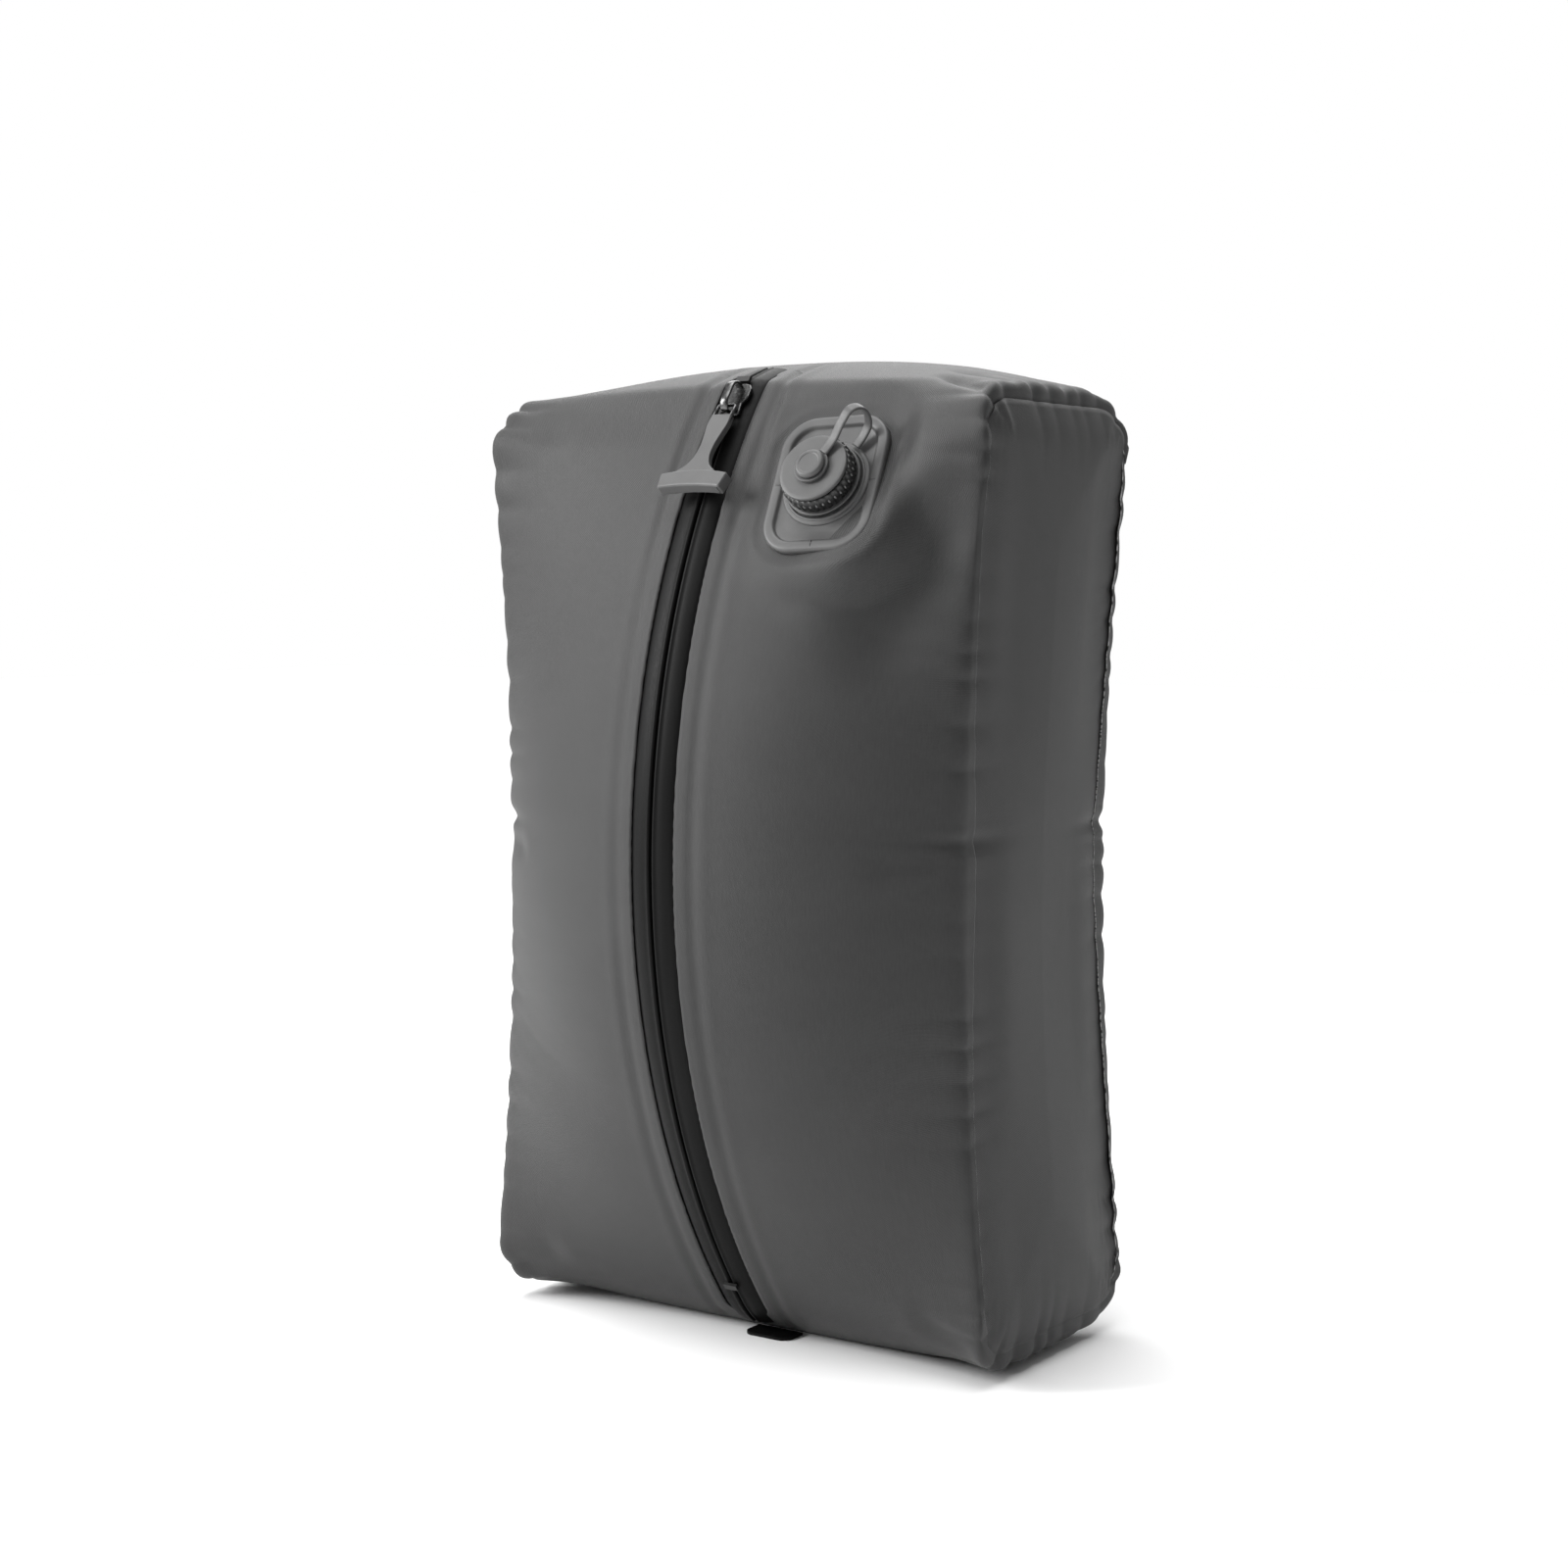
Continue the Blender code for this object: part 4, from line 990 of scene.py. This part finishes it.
def make_flange():
    """The welded plate: a broad soft rim, a sunk face and stepped rings round the neck."""
    steps = ((0.0, -0.0002), (0.0, 0.0022), (0.0003, 0.0028), (0.0008, 0.0031),
             (0.0014, 0.0032), (0.0036, 0.0031), (0.0042, 0.0029), (0.0046, 0.0024),
             (0.0049, 0.0018), (0.0054, 0.0016), (0.0092, 0.0016))
    bm = bmesh.new()
    rings = []
    for inset, height in steps:
        corner = max(FLANGE_CORNER - inset, 0.004)
        outline = rounded_rectangle(FLANGE_WIDTH - 2 * inset, FLANGE_HEIGHT - 2 * inset, corner)
        rings.append([(x, y, height) for x, y in outline])
    add_rings(bm, rings)
    bmesh.ops.recalc_face_normals(bm, faces=bm.faces)
    piece("flange_plate", mesh_from(bm, "flange_plate"), VALVE, "root",
          ("valve_flange",), VALVE_PLACE)
    boss = fillet([(0.0113, 0.0008), (0.0187, 0.0008), (0.0187, 0.0020), (0.0181, 0.0025),
                   (0.0172, 0.0025), (0.0169, 0.0031), (0.0161, 0.0031), (0.0158, 0.0026),
                   (0.0113, 0.0026)], 0.0003)
    piece("flange_boss", turned_mesh("flange_boss", boss), VALVE, "root", (),
          VALVE_PLACE)
    make_ticks()


def make_ticks():
    """Small parting marks on the rim's two sides and its lower end."""
    bm = bmesh.new()
    half_w, half_h = FLANGE_WIDTH / 2, FLANGE_HEIGHT / 2
    for x, y, along_x in ((half_w - 0.0030, 0.0, True), (-half_w + 0.0030, 0.0, True),
                          (0.0, -half_h + 0.0030, False)):
        wide, tall = (0.0026, 0.0002) if along_x else (0.0002, 0.0026)
        outline = [(x - wide / 2, y - tall / 2), (x + wide / 2, y - tall / 2),
                   (x + wide / 2, y + tall / 2), (x - wide / 2, y + tall / 2)]
        add_prism(bm, outline, 0.0030, 0.00335)
    piece("flange_ticks", mesh_from(bm, "flange_ticks"), VALVE, "root", (),
          VALVE_PLACE)


def make_neck():
    profile = [(0.0090, 0.0095), (0.0106, 0.0095), (0.0108, 0.0084), (0.0114, 0.0080),
               (0.0114, 0.0074), (0.0108, 0.0070), (0.0108, 0.0056), (0.0114, 0.0052),
               (0.0114, 0.0046), (0.0110, 0.0042), (0.0110, -0.0049), (0.0135, -0.0049),
               (0.0135, -0.0064), (0.0090, -0.0064)]
    piece("neck_tube", turned_mesh("neck_tube", profile), VALVE, "root",
          ("valve_neck",), VALVE_PLACE)


def make_cap():
    """The screw cap: a soft-edged face, a dark ribbed grip and a flared foot."""
    cup = fillet([(0.0, 0.0141), (0.0064, 0.0141), (0.0068, 0.0139), (0.0128, 0.0140),
                  (0.01425, 0.0138), (0.01425, 0.0124), (0.0130, 0.0124), (0.0130, 0.0050),
                  (0.0157, 0.0050), (0.0159, 0.0045), (0.0157, 0.0039), (0.0119, 0.0039),
                  (0.0119, 0.0110), (0.0, 0.0110)], 0.00045)
    piece("cap_shell", turned_mesh("cap_shell", cup), VALVE, "cap",
          ("valve_cap",), VALVE_PLACE)
    make_grip()
    button = fillet([(0.0, 0.0175), (0.0040, 0.0175), (0.0044, 0.0177), (0.0054, 0.0176),
                     (0.00615, 0.0169), (0.00615, 0.0158), (0.0026, 0.0158), (0.0026, 0.0143),
                     (0.0, 0.0143)], 0.0004)
    piece("button_head", turned_mesh("button_head", button), VALVE, "cap",
          ("tether_button",), VALVE_PLACE)
    eyelet = fillet([(0.0029, 0.0155), (0.0072, 0.0155), (0.0072, 0.0143), (0.0029, 0.0143)],
                    0.0003)
    piece("eyelet_ring", turned_mesh("eyelet_ring", eyelet), VALVE, "cap_carrier",
          ("tether_eyelet",), VALVE_PLACE)


RIBS = 34


def make_grip():
    """Dark ribs round the cap, each hollow holding a small pale pip: the pips are painted
    highlights on the ribs.
    """
    bm = bmesh.new()
    rings = []
    turns = np.linspace(0.0, math.tau, RIBS * 8, endpoint=False)
    wave = 0.5 + 0.5 * np.cos(turns * RIBS)
    for height, inset in ((0.0053, 0.0006), (0.0058, 0.0), (0.0116, 0.0), (0.0121, 0.0006)):
        radius = 0.0147 + 0.00045 * smoothstep(0.25, 0.75, wave) - inset
        rings.append([(r * math.cos(a), r * math.sin(a), height)
                      for r, a in zip(radius, turns)])
    bore = [(0.0133 * math.cos(a), 0.0133 * math.sin(a), h) for h in (0.0121,) for a in turns]
    low = [(0.0133 * math.cos(a), 0.0133 * math.sin(a), 0.0053) for a in turns]
    add_rings(bm, [low] + rings + [bore, low], False)
    bmesh.ops.remove_doubles(bm, verts=bm.verts, dist=0.000001)
    bmesh.ops.recalc_face_normals(bm, faces=bm.faces)
    piece("grip_ribs", mesh_from(bm, "grip_ribs"), DARK, "cap",
          ("cap_grip_ring",), VALVE_PLACE)
    # the pale pips are painted highlights, set where the ribs catch the light
    bm = bmesh.new()
    for i in range(RIBS):
        angle = math.tau * (i + 0.5) / RIBS
        spot = Matrix.Rotation(angle, 4, "Z") @ Matrix.Translation((0.0147, 0.0, 0.0088))
        shape = spot @ Matrix.Diagonal((0.00045, 0.00042, 0.0009, 1.0))
        bmesh.ops.create_icosphere(bm, subdivisions=2, radius=1.0, matrix=shape)
    piece("grip_pips_painted_highlight", mesh_from(bm, "grip_pips_painted_highlight"), PIP_HIGHLIGHT, "cap", (), VALVE_PLACE)


STRAP_LINE = ((0.0066, 0.0150), (0.0130, 0.0160), (0.0200, 0.0192), (0.0256, 0.0203),
              (0.0290, 0.0172), (0.0294, 0.0115), (0.0272, 0.0068), (0.0232, 0.0047),
              (0.0180, 0.0036))
STRAP_HEADING = math.radians(54.8)


def make_strap():
    """The moulded strap that keeps the cap: it bows up and comes down behind the cap."""
    centre = smooth_curve(STRAP_LINE, 70)
    cos_h, sin_h = math.cos(STRAP_HEADING), math.sin(STRAP_HEADING)
    bm = bmesh.new()
    rings = []
    for i, (reach, height) in enumerate(centre):
        run = centre[min(len(centre) - 1, i + 1)] - centre[max(0, i - 1)]
        run = run / np.linalg.norm(run)
        ring = []
        for turn in np.linspace(0.0, math.tau, 20, endpoint=False):
            wide = 0.0020 * np.sign(math.cos(turn)) * abs(math.cos(turn)) ** 0.45
            thick = 0.0006 * np.sign(math.sin(turn)) * abs(math.sin(turn)) ** 0.45
            out = reach - run[1] * thick
            x = out * cos_h - wide * sin_h
            y = out * sin_h + wide * cos_h
            ring.append((x, y, height + run[0] * thick))
        rings.append(ring)
    add_rings(bm, rings)
    bmesh.ops.recalc_face_normals(bm, faces=bm.faces)
    item = piece("cap_strap", mesh_from(bm, "cap_strap"), VALVE, None,
                 ("tether_strap",), VALVE_PLACE)
    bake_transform(item)


# ---- the carried-over nodes -----------------------------------------------------------------

NODE_LOOKS = {
    "zip_coil_left": COIL, "zip_coil_right": COIL, "zip_stop_top": COIL,
    "zip_stop_bottom": COIL, "zip_dock_top": RUBBER, "zip_dock_bottom": RUBBER,
    "valve_inner_ring": VALVE, "valve_seat": VALVE, "check_diaphragm": RUBBER,
    "cap_seal_ring": RUBBER, "zip_end_tab": TAPE,
}


def dress_nodes():
    for name, material in NODE_LOOKS.items():
        mesh = frame["nodes"][name].data
        mesh.materials.clear()
        mesh.materials.append(material)


# ---- floor, light and camera ----------------------------------------------------------------

def studio_world():
    """A white room whose walls light the object less than they show."""
    world = bpy.data.worlds.new("studio")
    world.use_nodes = True
    tree = world.node_tree
    shown = tree.nodes["Background"]
    shown.inputs["Color"].default_value = (1.0, 1.0, 1.0, 1.0)
    fill = tree.nodes.new("ShaderNodeBackground")
    fill.inputs["Color"].default_value = (1.0, 1.0, 1.0, 1.0)
    fill.inputs["Strength"].default_value = 0.30
    path = tree.nodes.new("ShaderNodeLightPath")
    mix = tree.nodes.new("ShaderNodeMixShader")
    tree.links.new(path.outputs["Is Camera Ray"], mix.inputs[0])
    tree.links.new(fill.outputs[0], mix.inputs[1])
    tree.links.new(shown.outputs[0], mix.inputs[2])
    tree.links.new(mix.outputs[0], tree.nodes["World Output"].inputs["Surface"])
    return world


def make_stage():
    mesh = bpy.data.meshes.new("floor")
    size = 6.0
    mesh.from_pydata([(-size, -size, 0.0), (size, -size, 0.0), (size, size, 0.0),
                      (-size, size, 0.0)], [], [(0, 1, 2, 3)])
    floor = bpy.data.objects.new("floor", mesh)
    bpy.context.scene.collection.objects.link(floor)
    paper = Nodes("pale_paper", grey(0.86), 0.8)
    tone = paper.noise(paper.coordinates(), 4.0, 2.0)
    paper.color(paper.tint(tone, grey(0.85), grey(0.87)))
    mesh.materials.append(paper.material)
    bpy.context.scene.world = studio_world()
    bpy.context.scene.view_settings.view_transform = "Standard"


def add_light(name, spot, target, size, power):
    data = bpy.data.lights.new(name, "AREA")
    data.shape = "RECTANGLE"
    data.size, data.size_y = size
    data.energy = power
    lamp = bpy.data.objects.new(name, data)
    bpy.context.scene.collection.objects.link(lamp)
    lamp.location = spot
    aim = Vector(target) - Vector(spot)
    lamp.rotation_euler = aim.to_track_quat("-Z", "Y").to_euler()


def add_sun(name, direction, strength, spread):
    data = bpy.data.lights.new(name, "SUN")
    data.energy = strength
    data.angle = math.radians(spread)
    lamp = bpy.data.objects.new(name, data)
    bpy.context.scene.collection.objects.link(lamp)
    lamp.rotation_euler = Vector(direction).to_track_quat("-Z", "Y").to_euler()


def make_lights():
    add_sun("sky_panel", (0.12, 0.10, -1.0), 3.3, 50.0)
    add_light("back_top_softbox", (-0.35, 0.75, 1.15), (0.0, 0.0, 0.34), (1.3, 0.7), 11.0)
    add_light("left_softbox", (-1.15, -1.05, 0.95), (0.0, 0.0, 0.22), (0.5, 1.0), 36.0)


def make_camera():
    """Standing a little above the bag's middle, to the right of its front."""
    bearing = math.radians(34.2)
    turn = bearing + math.radians(0.45)
    tilt = math.radians(4.5)
    distance, height = 1.092, 0.313
    data = bpy.data.cameras.new("view")
    data.lens = 59.6
    data.sensor_width = 36.0
    data.clip_start = 0.01
    camera = bpy.data.objects.new("view", data)
    bpy.context.scene.collection.objects.link(camera)
    right = Vector((math.cos(turn), math.sin(turn), 0.0))
    back = Vector((math.sin(turn), -math.cos(turn), 0.0))
    ahead = -back * math.cos(tilt) - Vector((0.0, 0.0, math.sin(tilt)))
    place = Matrix((right, right.cross(ahead), -ahead)).transposed().to_4x4()
    place.translation = Vector((math.sin(bearing) * distance, -math.cos(bearing) * distance,
                                height))
    camera.matrix_world = place
    bpy.context.scene.camera = camera


make_camera()
make_wrap()
make_back()
make_side(1, "bag_side_right", "side_panel_right")
make_side(-1, "bag_side_left", "side_panel_left")
make_tapes()
make_slider()
PULL = pull_place()
make_link(PULL)
make_handle(PULL)
make_flange()
make_neck()
make_cap()
make_strap()
dress_nodes()
make_stage()
make_lights()
